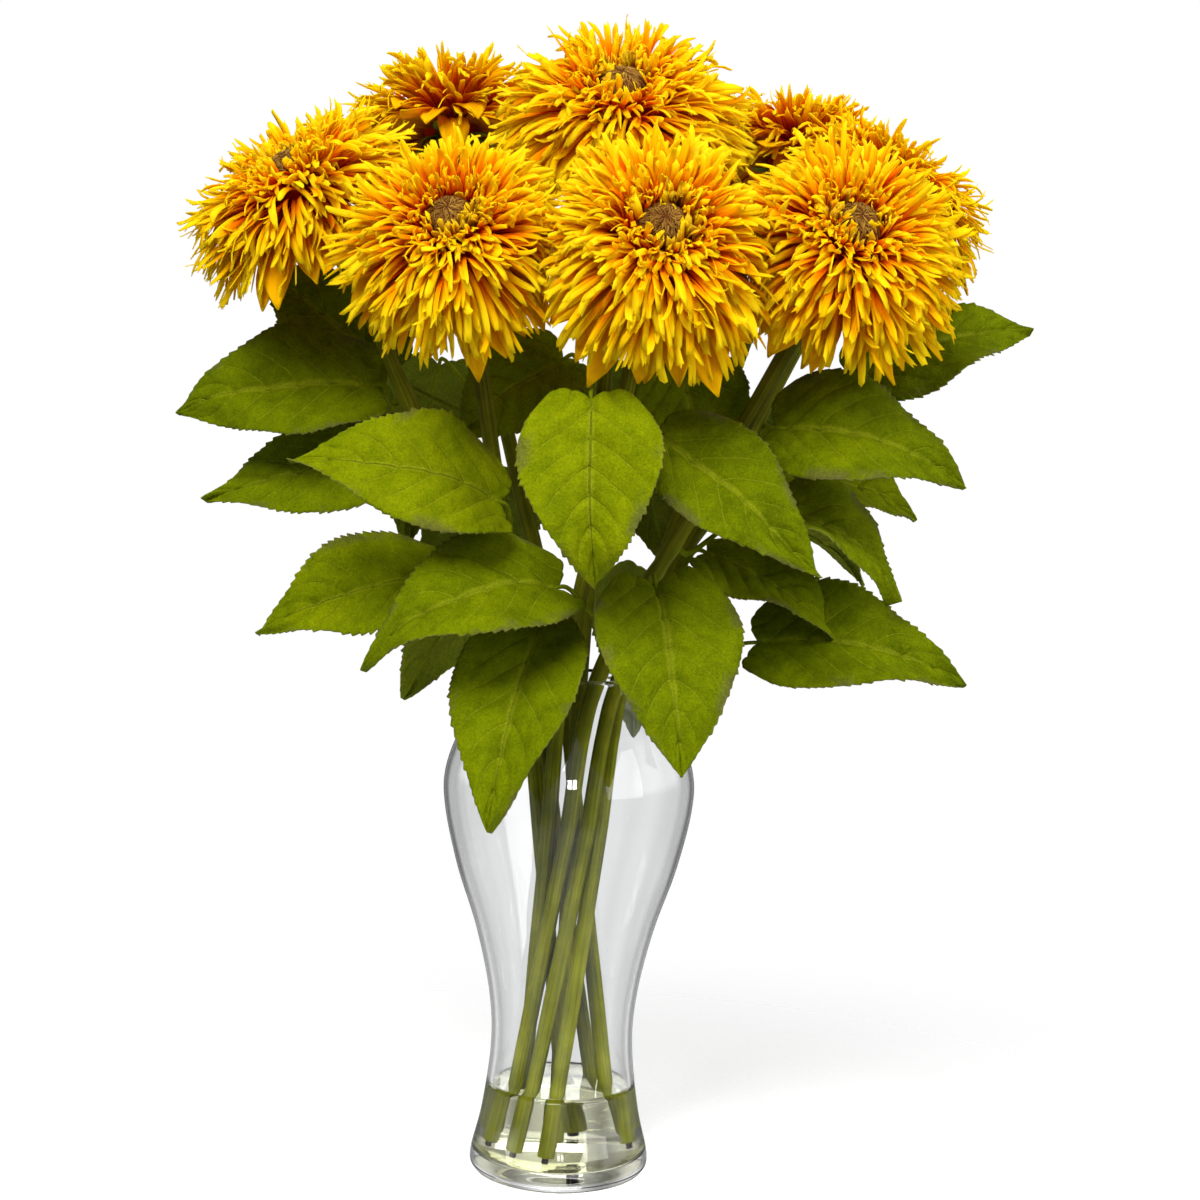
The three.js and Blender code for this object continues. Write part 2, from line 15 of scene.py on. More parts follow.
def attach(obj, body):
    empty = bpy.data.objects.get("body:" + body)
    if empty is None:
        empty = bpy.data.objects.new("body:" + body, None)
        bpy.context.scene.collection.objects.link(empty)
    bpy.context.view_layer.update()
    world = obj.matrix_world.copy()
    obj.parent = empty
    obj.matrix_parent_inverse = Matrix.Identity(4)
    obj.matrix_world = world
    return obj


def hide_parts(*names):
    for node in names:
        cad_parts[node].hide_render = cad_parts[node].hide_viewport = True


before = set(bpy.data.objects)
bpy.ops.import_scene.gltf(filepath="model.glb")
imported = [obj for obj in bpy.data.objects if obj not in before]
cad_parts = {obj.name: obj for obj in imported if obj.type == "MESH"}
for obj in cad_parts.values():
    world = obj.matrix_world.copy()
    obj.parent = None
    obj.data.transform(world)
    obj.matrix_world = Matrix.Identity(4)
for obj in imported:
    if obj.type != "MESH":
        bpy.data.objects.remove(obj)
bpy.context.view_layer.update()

MM = 0.001
UP = np.array([0.0, 0.0, 1.0])
TURN = 2 * math.pi

# ---- The object's own dimensions ----

VASE_OUTLINE = [
    (37, 0), (41.5, 2.5), (43, 9), (38, 31), (34.3, 62), (36, 88), (43, 119), (53, 149),
    (59.6, 178), (59.4, 197), (51.3, 218), (39.5, 233), (34.8, 241),
]
VASE_WALL = 3.0
VASE_FLOOR = 9.0
WATER_LEVEL = 43.0

STEM_RADIUS = 3.8
STEM_FOOT = 13.5
NECK_HEIGHT = 241.0
WIRE_RADIUS = 1.5
WIRE_BARE = 3.2

# Heads: centre of the back of the bloom, the way it faces, its size, and where its stem stands in the
# resin and passes the neck.
Head = namedtuple("Head", "at faces size foot neck")
HEADS = [Head(*row) for row in (
    ((-127, -33, 459), (-0.46, -0.42, 0.78), 1.03, (20, 16), (-20, 14)),
    ((-70, 66, 506), (-0.1, 0.4, 0.9), 1.0, (26, -1), (-6, 24)),
    ((-55, -84, 437), (-0.1, -0.84, 0.53), 0.98, (3, 25), (-22, -6)),
    ((33, -93, 435), (0.1, -0.87, 0.48), 1.04, (-20, 15), (-4, -22)),
    ((16, -10, 503), (0, -0.64, 0.77), 1.1, (-2, 2), (4, 4)),
    ((115, -73, 440), (0.22, -0.83, 0.52), 1.03, (-26, -3), (12, -22)),
    ((143, 26, 475), (0.5, 0, 0.87), 1.0, (-18, -17), (22, -13)),
    ((104, 67, 497), (0.15, 0.2, 0.96), 1.0, (-5, -25), (25, 1)),
)]
NEAR = 135.0  # how far apart two heads that press each other may be
PRESS_KEEP = 1.4  # nearest that a petal comes to the plane halfway to the next head
PRESS_SOFT = 9.0  # distance from that plane at which petals start to bend back

# Leaves: stem, height of the root, base, tip, the way it faces, width, bow, and how many degrees its end
# curls down.
Leaf = namedtuple("Leaf", "stem root base tip faces width bow curl")
LEAVES = [Leaf(*row) for row in (
    (1, 372, (-100, -6, 378), (-192, -10, 363), (0, -0.85, 0.5), 66, 9, 10),
    (1, 322, (-84, 9, 345), (-179, 8, 318), (0, -0.8, 0.6), 64, 12, -14),
    (3, 306, (-36, -60, 326), (-126, -84, 341), (-0.1, -0.8, 0.5), 64, 14, 6),
    (1, 274, (-64, -16, 290), (-147, -36, 261), (0, -0.8, 0.6), 58, 9, 10),
    (6, 264, (-8, -54, 288), (-92, -88, 252), (-0.1, -0.8, 0.7), 64, 20, 22),
    (3, 252, (-16, -46, 268), (-34, -96, 181), (-0.2, -1, 0.3), 64, 8, 8),
    (4, 350, (6, -100, 368), (10, -110, 288), (0, -1, 0.1), 66, 10, 60),
    (4, 330, (38, -70, 356), (107, -96, 294), (0.2, -0.9, 0.5), 58, 9, -16),
    (6, 291, (38, -54, 288), (50, -92, 206), (0.2, -1, 0.4), 72, 8, -8),
    (6, 340, (92, -52, 362), (176, -62, 339), (0.1, -0.85, 0.6), 64, 13, 18),
    (7, 322, (96, 10, 343), (167, 20, 322), (0.1, -0.7, 0.7), 56, 9, 10),
    (6, 306, (90, -24, 325), (150, -44, 285), (0.3, -0.6, 0.7), 54, 13, 12),
    (7, 256, (90, -16, 262), (185, -30, 246), (0.1, -0.8, 0.6), 64, 13, 8),
    (7, 286, (64, -16, 303), (122, -32, 266), (0.2, -0.6, 0.8), 54, 9, 16),
    (7, 366, (134, 2, 390), (218, 14, 416), (0.1, -0.75, 0.65), 60, 8, 14),
    (2, 366, (-96, 26, 388), (-158, 16, 436), (-0.3, -0.8, 0.5), 60, 8, 10),
    (2, 372, (-74, 70, 390), (-92, 104, 298), (-0.3, 0.9, 0.3), 64, 10, 14),
    (2, 328, (-46, 68, 336), (-54, 100, 244), (-0.1, 1, 0.3), 66, 10, 18),
    (5, 372, (-10, 2, 392), (-60, -2, 352), (-0.1, -1, 0.3), 56, 7, 10),
    (5, 366, (6, 47, 388), (0, 78, 298), (0, 1, 0.3), 64, 10, 12),
    (8, 350, (84, 70, 368), (108, 106, 284), (0.2, 0.9, 0.3), 64, 10, -10),
    (8, 300, (76, 44, 320), (150, 84, 288), (0.3, 0.5, 0.8), 60, 12, 16),
    (8, 268, (38, 42, 288), (34, 78, 206), (0, 1, 0.3), 64, 10, 14),
    (5, 402, (46, -28, 392), (66, -12, 322), (0.1, -1, 0.2), 60, 6, 10),
    (2, 262, (-38, 44, 278), (-88, 66, 222), (-0.3, 0.9, 0.3), 56, 10, 14),
    (5, 346, (28, 46, 370), (44, 58, 294), (0.1, 1, 0.3), 56, 8, 14),
)]
LEAF_FOLD = math.radians(12)  # how far each half of the blade rises from the midrib
LEAF_WAVE = 2.5  # how far the margin waves up and down
LOBE = 0.07  # share of the length that the two round lobes reach back past the petiole
PETIOLE_BEND = 8.0  # length over which it turns into the midrib
GAP = 0.3  # left between two pieces that touch

# Where each kind of piece starts its random draws; its number is added.
STEM_SEED, LEAF_SEED, BLOOM_SEED, ENDS_SEED = 300, 500, 700, 900


def vec(*values):
    return np.array(values, dtype=float)


def unit(v):
    return v / np.linalg.norm(v, axis=-1, keepdims=True)


def around(sides):
    """That many equal steps of a turn."""
    return np.linspace(0, TURN, sides, endpoint=False)


def circle(side, other, turn):
    """Directions round a line, given two across it."""
    return side * np.cos(turn) + other * np.sin(turn)


# ---- Meshes ----


def add_object(name, data):
    made = bpy.data.objects.new(name, data)
    bpy.context.scene.collection.objects.link(made)
    return made


class Body:
    """Points in millimetres, faces and point attributes gathered for one piece of the object."""

    def __init__(self, *names):
        self.points, self.faces, self.flat = [], [], []
        self.attributes = {name: [] for name in names}
        self.count = 0

    def add(self, points, faces, flat=None, **attributes):
        """Adds to the piece. flat marks the faces that aren't shaded smooth."""
        points = np.asarray(points, dtype=float).reshape(-1, 3)
        self.points.append(points)
        self.faces.extend([tuple(int(i) + self.count for i in f) for f in faces])
        self.flat.extend([False] * len(faces) if flat is None else list(flat))
        for name, store in self.attributes.items():
            value = np.broadcast_to(attributes.get(name, 0.0), (len(points),))
            store.append(np.array(value, dtype=float))
        self.count += len(points)

    def piece(self, name, material, slot, nodes):
        """Makes the piece, in the place of those nodes."""
        mesh = bpy.data.meshes.new(name)
        mesh.from_pydata((np.concatenate(self.points) * MM).tolist(), [], self.faces)
        mesh.polygons.foreach_set("use_smooth", np.logical_not(self.flat))
        for key, values in self.attributes.items():
            data = mesh.attributes.new(key, "FLOAT", "POINT").data
            data.foreach_set("value", np.concatenate(values).astype(np.float32))
        mesh.materials.append(material)
        piece = add_object(name, mesh)
        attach(piece, "root")
        if nodes:
            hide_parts(*nodes)
        return piece


def ring_faces(rings, sides, closed=True):
    """Quads between rings of equally many points, one ring after another."""
    faces = []
    for i in range(rings - 1):
        for j in range(sides if closed else sides - 1):
            a, b = i * sides + j, i * sides + (j + 1) % sides
            faces.append((a, b, b + sides, a + sides))
    return faces


def repeated(faces, count, each):
    """The faces of many alike pieces, each of that many points."""
    return (np.array(faces)[None] + (np.arange(count) * each)[:, None, None]).reshape(-1, 4)


def revolve(profile, sides):
    """Points and faces of a closed surface of revolution. The profile starts and ends on the axis."""
    turn = around(sides)
    inner = np.array(profile[1:-1], dtype=float)
    radius, height = inner[:, :1], np.repeat(inner[:, 1:2], sides, 1)
    rings = np.stack([radius * np.cos(turn), radius * np.sin(turn), height], -1)
    points = np.concatenate([rings.reshape(-1, 3), [[0, 0, profile[0][1]], [0, 0, profile[-1][1]]]])
    faces = ring_faces(len(inner), sides)
    low, high = len(points) - 2, len(points) - 1
    last = (len(inner) - 1) * sides
    for j in range(sides):
        k = (j + 1) % sides
        faces.append((low, k, j))
        faces.append((high, last + j, last + k))
    return points, faces


def hermite(start, end, leave, arrive, t):
    """The point at t on a cubic from start to end with those directions at its ends."""
    cube = 2 * start - 2 * end + leave + arrive
    square = -3 * start + 3 * end - 2 * leave - arrive
    return start + leave * t + square * t ** 2 + cube * t ** 3


def centripetal(points, steps):
    """Points on a centripetal Catmull-Rom curve, steps to each span."""
    p = [np.array(q, dtype=float) for q in points]
    p = [2 * p[0] - p[1], *p, 2 * p[-1] - p[-2]]
    made = []
    for i in range(1, len(p) - 2):
        a, b, c, d = p[i - 1 : i + 3]
        before, here, after = (math.sqrt(np.linalg.norm(q - r)) for q, r in ((b, a), (c, b), (d, c)))
        leave = ((b - a) / before - (c - a) / (before + here) + (c - b) / here) * here
        arrive = ((c - b) / here - (d - b) / (here + after) + (d - c) / after) * here
        made += [hermite(b, c, leave, arrive, t) for t in np.arange(steps) / steps]
    return np.array([*made, p[-2]])


def spline(points, steps):
    """Points on a uniform Catmull-Rom curve whose ends are held, steps to each span."""
    p = [np.array(q, dtype=float) for q in points]
    p = [p[0], *p, p[-1]]
    made = []
    for a, b, c, d in zip(p, p[1:], p[2:], p[3:]):
        made += [hermite(b, c, (c - a) / 2, (d - b) / 2, t) for t in np.arange(steps) / steps]
    return np.array([*made, p[-1]])


def tube_frames(line):
    """Directions along a line, and two across it that don't turn about it."""
    along = unit(np.gradient(line, axis=0))
    side = np.zeros_like(along)
    side[0] = unit(np.cross(along[0], vec(0, 1, 0.2)))
    for i in range(1, len(line)):
        side[i] = unit(side[i - 1] - along[i] * side[i - 1].dot(along[i]))
    return along, side, np.cross(along, side)


def distances(line):
    """How far along a line each of its points lies."""
    return np.concatenate([[0], np.cumsum(np.linalg.norm(np.diff(line, axis=0), axis=1))])


def fan(centre, sides):
    """Triangles from a ring that starts at point 0 to its centre point, facing against the ring's turn."""
    return [(centre, (j + 1) % sides, j) for j in range(sides)]


# ---- Materials ----


class Nodes:
    """The nodes of a material or the world, with short names for those used here."""

    def __init__(self, owner, output):
        owner.use_nodes = True
        self.owner, self.tree = owner, owner.node_tree
        self.tree.nodes.clear()
        self.output = self.node(output)

    def node(self, kind, inputs=None, **settings):
        made = self.tree.nodes.new("ShaderNode" + kind)
        for key, value in settings.items():
            setattr(made, key, value)
        for key, value in (inputs or {}).items():
            self.link(value, made.inputs[key])
        return made

    def link(self, source, target):
        if isinstance(source, bpy.types.NodeSocket):
            self.tree.links.new(source, target)
        else:
            target.default_value = source

    def attributes(self, *names):
        return [self.node("Attribute", attribute_name=name).outputs["Fac"] for name in names]

    def math(self, operation, *values, clamp=False):
        inputs = dict(enumerate(values))
        return self.node("Math", inputs, operation=operation, use_clamp=clamp).outputs[0]

    def times(self, *values):
        return self.math("MULTIPLY", *values)

    def plus(self, *values, clamp=False):
        return self.math("ADD", *values, clamp=clamp)

    def minus(self, *values, clamp=False):
        return self.math("SUBTRACT", *values, clamp=clamp)

    def about(self, value, middle, amount):
        """How far a value is from its middle, times an amount."""
        return self.times(self.minus(value, middle), amount)

    def smooth(self, value, low, high):
        inputs = {"Value": value, "From Min": low, "From Max": high}
        return self.node("MapRange", inputs, interpolation_type="SMOOTHSTEP").outputs["Result"]

    def ramp(self, value, stops):
        made = self.node("ValToRGB", {"Fac": value})
        elements = made.color_ramp.elements
        while len(elements) < len(stops):
            elements.new(0.5)
        for element, (place, colour) in zip(elements, stops):
            element.position = place
            element.color = (*colour, 1)
        return made.outputs["Color"]

    def mix(self, factor, a, b, blend="MIX"):
        a, b = ((*value, 1) if isinstance(value, tuple) else value for value in (a, b))
        return self.node("Mix", {0: factor, 6: a, 7: b}, data_type="RGBA", blend_type=blend).outputs[2]

    def join(self, share, first, second):
        """The first shader with a share of the second."""
        return self.node("MixShader", {0: share, 1: first, 2: second}).outputs[0]

    def shade(self, colour, factor):
        """The colour made that much lighter or darker."""
        return self.mix(1.0, colour, self.combine(factor, factor, factor), "MULTIPLY")

    def noise(self, scale, detail=2.0, vector=None, roughness=0.5):
        vector = self.position() if vector is None else vector
        inputs = {"Scale": scale, "Detail": detail, "Roughness": roughness, "Vector": vector}
        return self.node("TexNoise", inputs).outputs["Fac"]

    def position(self):
        return self.node("TexCoord").outputs["Object"]

    def combine(self, x, y, z):
        return self.node("CombineXYZ", {0: x, 1: y, 2: z}).outputs[0]

    def bump(self, height, distance, strength=1.0):
        inputs = {"Height": height, "Distance": distance, "Strength": strength}
        return self.node("Bump", inputs).outputs["Normal"]

    def principled(self, colour, roughness, normal=None, **values):
        inputs = {"Base Color": colour, "Roughness": roughness}
        inputs.update((key.replace("_", " "), value) for key, value in values.items())
        if normal is not None:
            inputs["Normal"] = normal
        return self.node("BsdfPrincipled", inputs).outputs[0]

    def through(self, shader, colour, share):
        """The shader with a share of light let through, as thin cloth does."""
        return self.join(share, shader, self.node("BsdfTranslucent", {"Color": colour}).outputs[0])

    def background(self, colour, strength=1.0):
        return self.node("Background", {"Color": (*colour, 1), "Strength": strength}).outputs[0]

    def finish(self, shader):
        self.link(shader, self.output.inputs["Surface"])
        return self.owner


def new_material(name):
    return Nodes(bpy.data.materials.new(name), "OutputMaterial")


def petal_material():
    """Dyed cloth, red at the root, orange in the middle and lemon yellow at the tip.

    kind is 0 on the fringed straps, 1 on the broad rays and 2 on the olive straps round the disc.
    """
    s = new_material("petal_cloth")
    along, tone = s.attributes("along", "tone")
    kind, across = s.attributes("kind", "across")
    fibres = s.combine(s.times(across, 3.4), s.times(along, 1.6), s.times(tone, 57.0))
    streak = s.noise(1.0, 3.0, fibres)
    drift = s.plus(s.about(tone, 0.5, 0.42), s.about(streak, 0.5, 0.34))
    edge = s.about(s.math("ABSOLUTE", across), 0.5, 0.12)
    place = s.plus(s.plus(along, edge), drift, clamp=True)
    strap = s.ramp(place, [
        (0.0, (0.76, 0.045, 0.0005)), (0.22, (0.90, 0.12, 0.0006)), (0.42, (0.98, 0.29, 0.0008)),
        (0.58, (1.0, 0.49, 0.001)), (0.75, (1.0, 0.68, 0.002)), (0.96, (1.0, 0.78, 0.008)),
    ])
    ray = s.ramp(place, [
        (0.0, (0.60, 0.12, 0.0006)), (0.3, (0.86, 0.31, 0.0008)), (0.6, (0.95, 0.47, 0.001)),
        (1.0, (0.98, 0.60, 0.002)),
    ])
    centre = s.ramp(place, [
        (0.0, (0.085, 0.022, 0.003)), (0.25, (0.33, 0.12, 0.006)), (0.55, (0.62, 0.34, 0.010)),
        (0.9, (0.88, 0.60, 0.016)),
    ])
    outer = s.mix(s.math("MINIMUM", kind, 1.0), strap, ray)
    colour = s.mix(s.minus(kind, 1.0, clamp=True), outer, centre)
    colour = s.shade(colour, s.plus(0.82, s.times(streak, 0.36)))
    weave = s.noise(2200.0, 1.0)
    normal = s.bump(s.plus(weave, s.times(streak, 1.6)), 0.00022, 0.6)
    cloth = s.principled(colour, 0.7, normal, Specular_IOR_Level=0.07)
    return s.finish(s.through(cloth, colour, 0.36))


def disc_material():
    """Flock and short fibres, olive brown on top and dark red brown below."""
    s = new_material("seed_disc_flock")
    lift, tone = s.attributes("along", "tone")
    speck = s.noise(700.0, 3.0)
    drift = s.plus(s.about(tone, 0.5, 0.5), s.about(speck, 0.5, 0.3))
    place = s.plus(s.times(lift, 0.85), drift, clamp=True)
    colour = s.ramp(place, [
        (0.0, (0.022, 0.006, 0.002)), (0.25, (0.115, 0.034, 0.008)), (0.55, (0.26, 0.112, 0.020)),
        (0.95, (0.44, 0.26, 0.048)),
    ])
    normal = s.bump(s.noise(3200.0, 2.0), 0.0003, 0.6)
    return s.finish(s.principled(colour, 0.85, normal, Specular_IOR_Level=0.1))


# Side veins. At the margin a vein has run on towards the tip by the first of these shares of the length,
# less the second times its place along the blade. Its way there follows the third as a power.
VEIN_LEAN = (0.40, 0.17, 1.15)
VEINS = 6.2  # on each side
VEIN_PHASE = 0.38  # where the first one starts, in veins


def leaf_material():
    """Dyed cloth with a pressed midrib and side veins, mottled, with a grey brown scorch at the margin."""
    s = new_material("leaf_cloth")
    u, v = s.attributes("along", "across")
    tone, under = s.attributes("tone", "under")
    reach = s.math("ABSOLUTE", v)
    lean_base, lean_less, lean_power = VEIN_LEAN
    lean = s.times(s.minus(lean_base, s.times(u, lean_less)), s.math("POWER", reach, lean_power))
    waver = s.about(s.noise(60.0, 2.0), 0.5, 0.35)
    phase = s.plus(s.plus(s.times(s.minus(u, lean), VEINS), VEIN_PHASE), waver)
    near = s.math("ABSOLUTE", s.minus(s.math("FRACT", phase), 0.5))
    vein = s.times(s.smooth(near, 0.05, 0.0), s.smooth(reach, 0.98, 0.5))
    rib_line = s.smooth(reach, 0.026, 0.008)
    rib_glow = s.smooth(reach, 0.10, 0.02)
    net = s.noise(140.0, 4.0, roughness=0.62)
    blotch = s.noise(64.0, 5.0, roughness=0.66)
    grain = s.noise(1050.0, 3.0, roughness=0.7)
    mottle = s.plus(s.about(blotch, 0.5, 0.55), s.about(net, 0.5, 0.3))
    place = s.plus(s.plus(mottle, 0.385), s.about(tone, 0.5, 0.2), clamp=True)
    colour = s.ramp(place, [
        (0.16, (0.075, 0.105, 0.0008)), (0.42, (0.165, 0.212, 0.0010)), (0.74, (0.305, 0.350, 0.0018)),
    ])
    scorch = s.times(s.smooth(reach, 0.72, 1.0), s.smooth(s.noise(44.0, 4.0), 0.5, 0.62))
    colour = s.mix(s.times(scorch, 0.75), colour, (0.115, 0.112, 0.030))
    rim = s.smooth(reach, 0.975, 1.0)
    colour = s.mix(s.times(rim, 0.5), colour, (0.21, 0.19, 0.05))
    pale = s.math("MAXIMUM", s.times(vein, 0.42), s.times(rib_glow, 0.38))
    colour = s.mix(pale, colour, (0.36, 0.40, 0.016))
    # painted shade: a dark line along the midrib's crease on the upper face only, deeper on leaves of higher
    # tone
    painted_crease_shade = s.times(s.times(rib_line, tone), s.about(under, 1.0, -0.55))
    colour = s.mix(painted_crease_shade, colour, (0.045, 0.055, 0.002))
    colour = s.mix(s.times(under, 0.5), colour, (0.17, 0.20, 0.020))
    colour = s.shade(colour, s.plus(0.3, s.times(grain, 1.4)))
    height = s.minus(s.plus(s.times(grain, 0.4), s.times(net, 2.2)), s.times(s.plus(vein, rib_line), 0.45))
    normal = s.bump(height, 0.0009, 0.8)
    cloth = s.principled(colour, 0.7, normal, Specular_IOR_Level=0.05)
    return s.finish(s.through(cloth, colour, 0.15))


def stem_material():
    """Moulded coating, olive green, with fine lengthwise streaks."""
    s = new_material("stem_coating")
    turn, along = s.attributes("across", "along")
    streak = s.noise(1.0, 3.0, s.combine(s.times(turn, 24.0), s.times(along, 0.018), 0.0))
    blotch = s.noise(48.0, 3.0)
    place = s.plus(s.times(streak, 0.55), s.times(blotch, 0.45))
    colour = s.ramp(place, [
        (0.32, (0.055, 0.060, 0.0015)), (0.5, (0.120, 0.128, 0.0028)), (0.68, (0.215, 0.218, 0.010)),
    ])
    grain = s.noise(1500.0, 1.0)
    colour = s.shade(colour, s.plus(0.85, s.times(grain, 0.3)))
    normal = s.bump(s.plus(streak, s.times(grain, 0.3)), 0.00035, 0.6)
    return s.finish(s.principled(colour, 0.55, normal, Specular_IOR_Level=0.1))


def calyx_material():
    """Green cloth, paler towards the sepals' tips."""
    s = new_material("calyx_cloth")
    along, tone = s.attributes("along", "tone")
    place = s.plus(s.times(along, 0.6), s.times(s.noise(220.0, 3.0), 0.5), clamp=True)
    colour = s.ramp(place, [
        (0.1, (0.070, 0.095, 0.004)), (0.5, (0.145, 0.18, 0.006)), (0.95, (0.25, 0.27, 0.02)),
    ])
    normal = s.bump(s.plus(s.noise(1600.0, 2.0), tone), 0.0003, 0.5)
    return s.finish(s.principled(colour, 0.6, normal, Specular_IOR_Level=0.15))


def wire_material():
    """Dark steel with a fine grit."""
    s = new_material("cut_wire")
    grit = s.noise(1400.0, 3.0)
    colour = s.ramp(grit, [(0.3, (0.008, 0.008, 0.009)), (0.7, (0.05, 0.05, 0.052))])
    rough = s.plus(0.3, s.times(grit, 0.3))
    return s.finish(s.principled(colour, rough, s.bump(grit, 0.0002, 0.4), Metallic=0.6))


def glass_material():
    """Clear glass, very slightly wavy."""
    s = new_material("vase_glass")
    wave = s.noise(14.0, 1.0)
    tint = s.mix(s.smooth(wave, 0.3, 0.7), (0.945, 0.955, 0.955), (0.965, 0.972, 0.972))
    normal = s.bump(wave, 0.002, 0.07)
    return s.finish(s.principled(tint, 0.0, normal, Transmission_Weight=1.0, IOR=1.5))


def water_material():
    """Clear resin with a faint olive tint."""
    s = new_material("clear_resin")
    haze = s.noise(30.0, 2.0)
    tint = s.mix(s.smooth(haze, 0.3, 0.7), (0.74, 0.75, 0.50), (0.84, 0.83, 0.64))
    normal = s.bump(s.noise(60.0, 1.0), 0.0008, 0.08)
    return s.finish(s.principled(tint, 0.0, normal, Transmission_Weight=1.0, IOR=1.42))


PETAL, DISC, LEAF = petal_material(), disc_material(), leaf_material()
STEM, CALYX, WIRE = stem_material(), calyx_material(), wire_material()
GLASS, WATER = glass_material(), water_material()

# ---- Blooms ----


def turn_of(normal):
    """The turn that takes +Z to the way a head faces."""
    return np.array(Vector((0, 0, 1)).rotation_difference(Vector(normal).normalized()).to_matrix())


def planes_of(index):
    """Planes halfway to the nearby heads, in this head's own frame."""
    back = turn_of(HEADS[index].faces).T
    planes = []
    for other, head in enumerate(HEADS):
        towards = vec(*head.at) - vec(*HEADS[index].at)
        distance = np.linalg.norm(towards)
        if other != index and distance < NEAR:
            planes.append((back @ (towards / distance), distance / 2))
    return planes


def pressed(points, planes, past):
    """Bends points back before the planes, as petals of two heads press. past lets some reach beyond."""
    span = PRESS_SOFT - PRESS_KEEP
    for normal, half in planes:
        clear = half + past - points @ normal
        kept = PRESS_KEEP + span * np.exp(np.minimum((clear - PRESS_SOFT) / span, 0))
        points = points + np.where(clear < PRESS_SOFT, clear - kept, 0)[..., None] * normal
    return points


def to_world(points, index):
    """Points in a head's own frame, in which it looks along +Z, put where the head is."""
    return points @ turn_of(HEADS[index].faces).T + vec(*HEADS[index].at)


# What describes a blade, in millimetres and radians. tone runs from 0 to 1, and past is how far the blade
# reaches beyond the plane to the next head.
BLADE_VALUES = (
    "bearing", "radius", "height", "offset",  # where its root is
    "heading", "rise",  # the way it sets off
    "droop", "bend", "curl", "sag",  # how it goes on
    "twist0", "twist",  # how it is turned about itself
    "length", "width", "cup", "pleat",  # its size and section
    "tone", "kind", "past",
)


def ringed(rings, count, rng):
    """The bearing and the ring's values for each blade of rings of that many, each ring half a step on."""
    for ring, values in enumerate(rings):
        for i in range(count):
            yield TURN * (i + 0.5 * ring) / count + rng.normal(0, 0.06), *values


class Blades:
    """The values of many narrow blades of cloth, one row for each."""

    def __init__(self):
        self.rows = []

    def put(self, **values):
        self.rows.append([values.get(key, 0.0) for key in BLADE_VALUES])

    def columns(self):
        return dict(zip(BLADE_VALUES, np.array(self.rows, dtype=float).T))


STRAP, RAY, OLIVE = 0.0, 1.0, 2.0  # kinds of blade, each with its own colours
CURL_START = 0.55  # share of a blade's length at which it starts to curl


def blade_lines(p, segments):
    """The middle line of every blade, with its directions along, across and through at each section."""
    s = np.linspace(0, 1, segments + 1)
    column = {key: values[:, None] for key, values in p.items()}

    def heading(t):
        return column["heading"] + column["bend"] * t * t

    def ahead(t):
        curl = column["curl"] * np.maximum(t - CURL_START, 0) ** 1.5 * 4.0
        slope, way = column["rise"] - column["droop"] * t ** 1.15 + curl, heading(t)
        return np.stack([np.cos(slope) * np.cos(way), np.cos(slope) * np.sin(way), np.sin(slope)], -1)

    cos, sin = np.cos(p["bearing"]), np.sin(p["bearing"])
    x, y = p["radius"] * cos - p["offset"] * sin, p["radius"] * sin + p["offset"] * cos
    root = np.stack([x, y, p["height"]], -1)
    steps = ahead((s[1:] + s[:-1])[None] / 2) * (column["length"] / segments)[..., None]
    line = root[:, None] + np.concatenate([np.zeros((len(root), 1, 3)), np.cumsum(steps, 1)], 1)
    t = s[None]
    along = ahead(t)
    side = np.stack([-np.sin(heading(t)), np.cos(heading(t)), np.zeros_like(heading(t))], -1)
    through = np.cross(along, side)
    turn = (column["twist0"] + column["twist"] * t)[..., None]
    return line, side * np.cos(turn) + through * np.sin(turn), through * np.cos(turn) - side * np.sin(turn)


def blade_points(p, segments, lanes, shape, thickness, ragged):
    """Points as (blade, section, point round it, xyz), the lanes of the upper face first.

    Where ragged is a random generator, the blades' ends are cut at its will: blunt, slanted or notched.
    """
    s = np.linspace(0, 1, segments + 1)
    line, side, through = blade_lines(p, segments)
    half = (p["width"][:, None] / 2 * np.interp(s, *shape)[None])[..., None]
    if ragged:
        half[:, -1, 0] *= ragged.uniform(*END_WIDTHS, len(half))
    rows = []
    for x in np.linspace(-1, 1, lanes):
        lift = p["cup"][:, None, None] * half * abs(x) ** 1.6
        lift = lift + p["pleat"][:, None, None] * math.cos(3 * math.pi * x)
        rows.append(line + side * half * x + through * lift)
    middle = np.stack(rows, 2)
    if ragged:
        cut = ragged.uniform(*END_CUTS, (len(half), lanes)) * p["width"][:, None]
        middle[:, -1] += np.cross(side[:, -1], through[:, -1])[:, None] * cut[..., None]
    off = through[:, :, None] * thickness / 2
    return np.concatenate([middle + off, (middle - off)[:, :, ::-1]], 2)


def blade_faces(segments, lanes):
    """The faces of one blade, and which of them are its cut edges."""
    sides = 2 * lanes
    faces = [(a, d, c, b) for a, b, c, d in ring_faces(segments + 1, sides)]
    flat = [j in (lanes - 1, sides - 1) for j in range(sides)] * segments
    end = segments * sides
    for j in range(lanes - 1):
        faces.append((j, j + 1, sides - 2 - j, sides - 1 - j))
        faces.append((end + j + 1, end + j, end + sides - 1 - j, end + sides - 2 - j))
    return faces, flat + [True] * (len(faces) - len(flat))


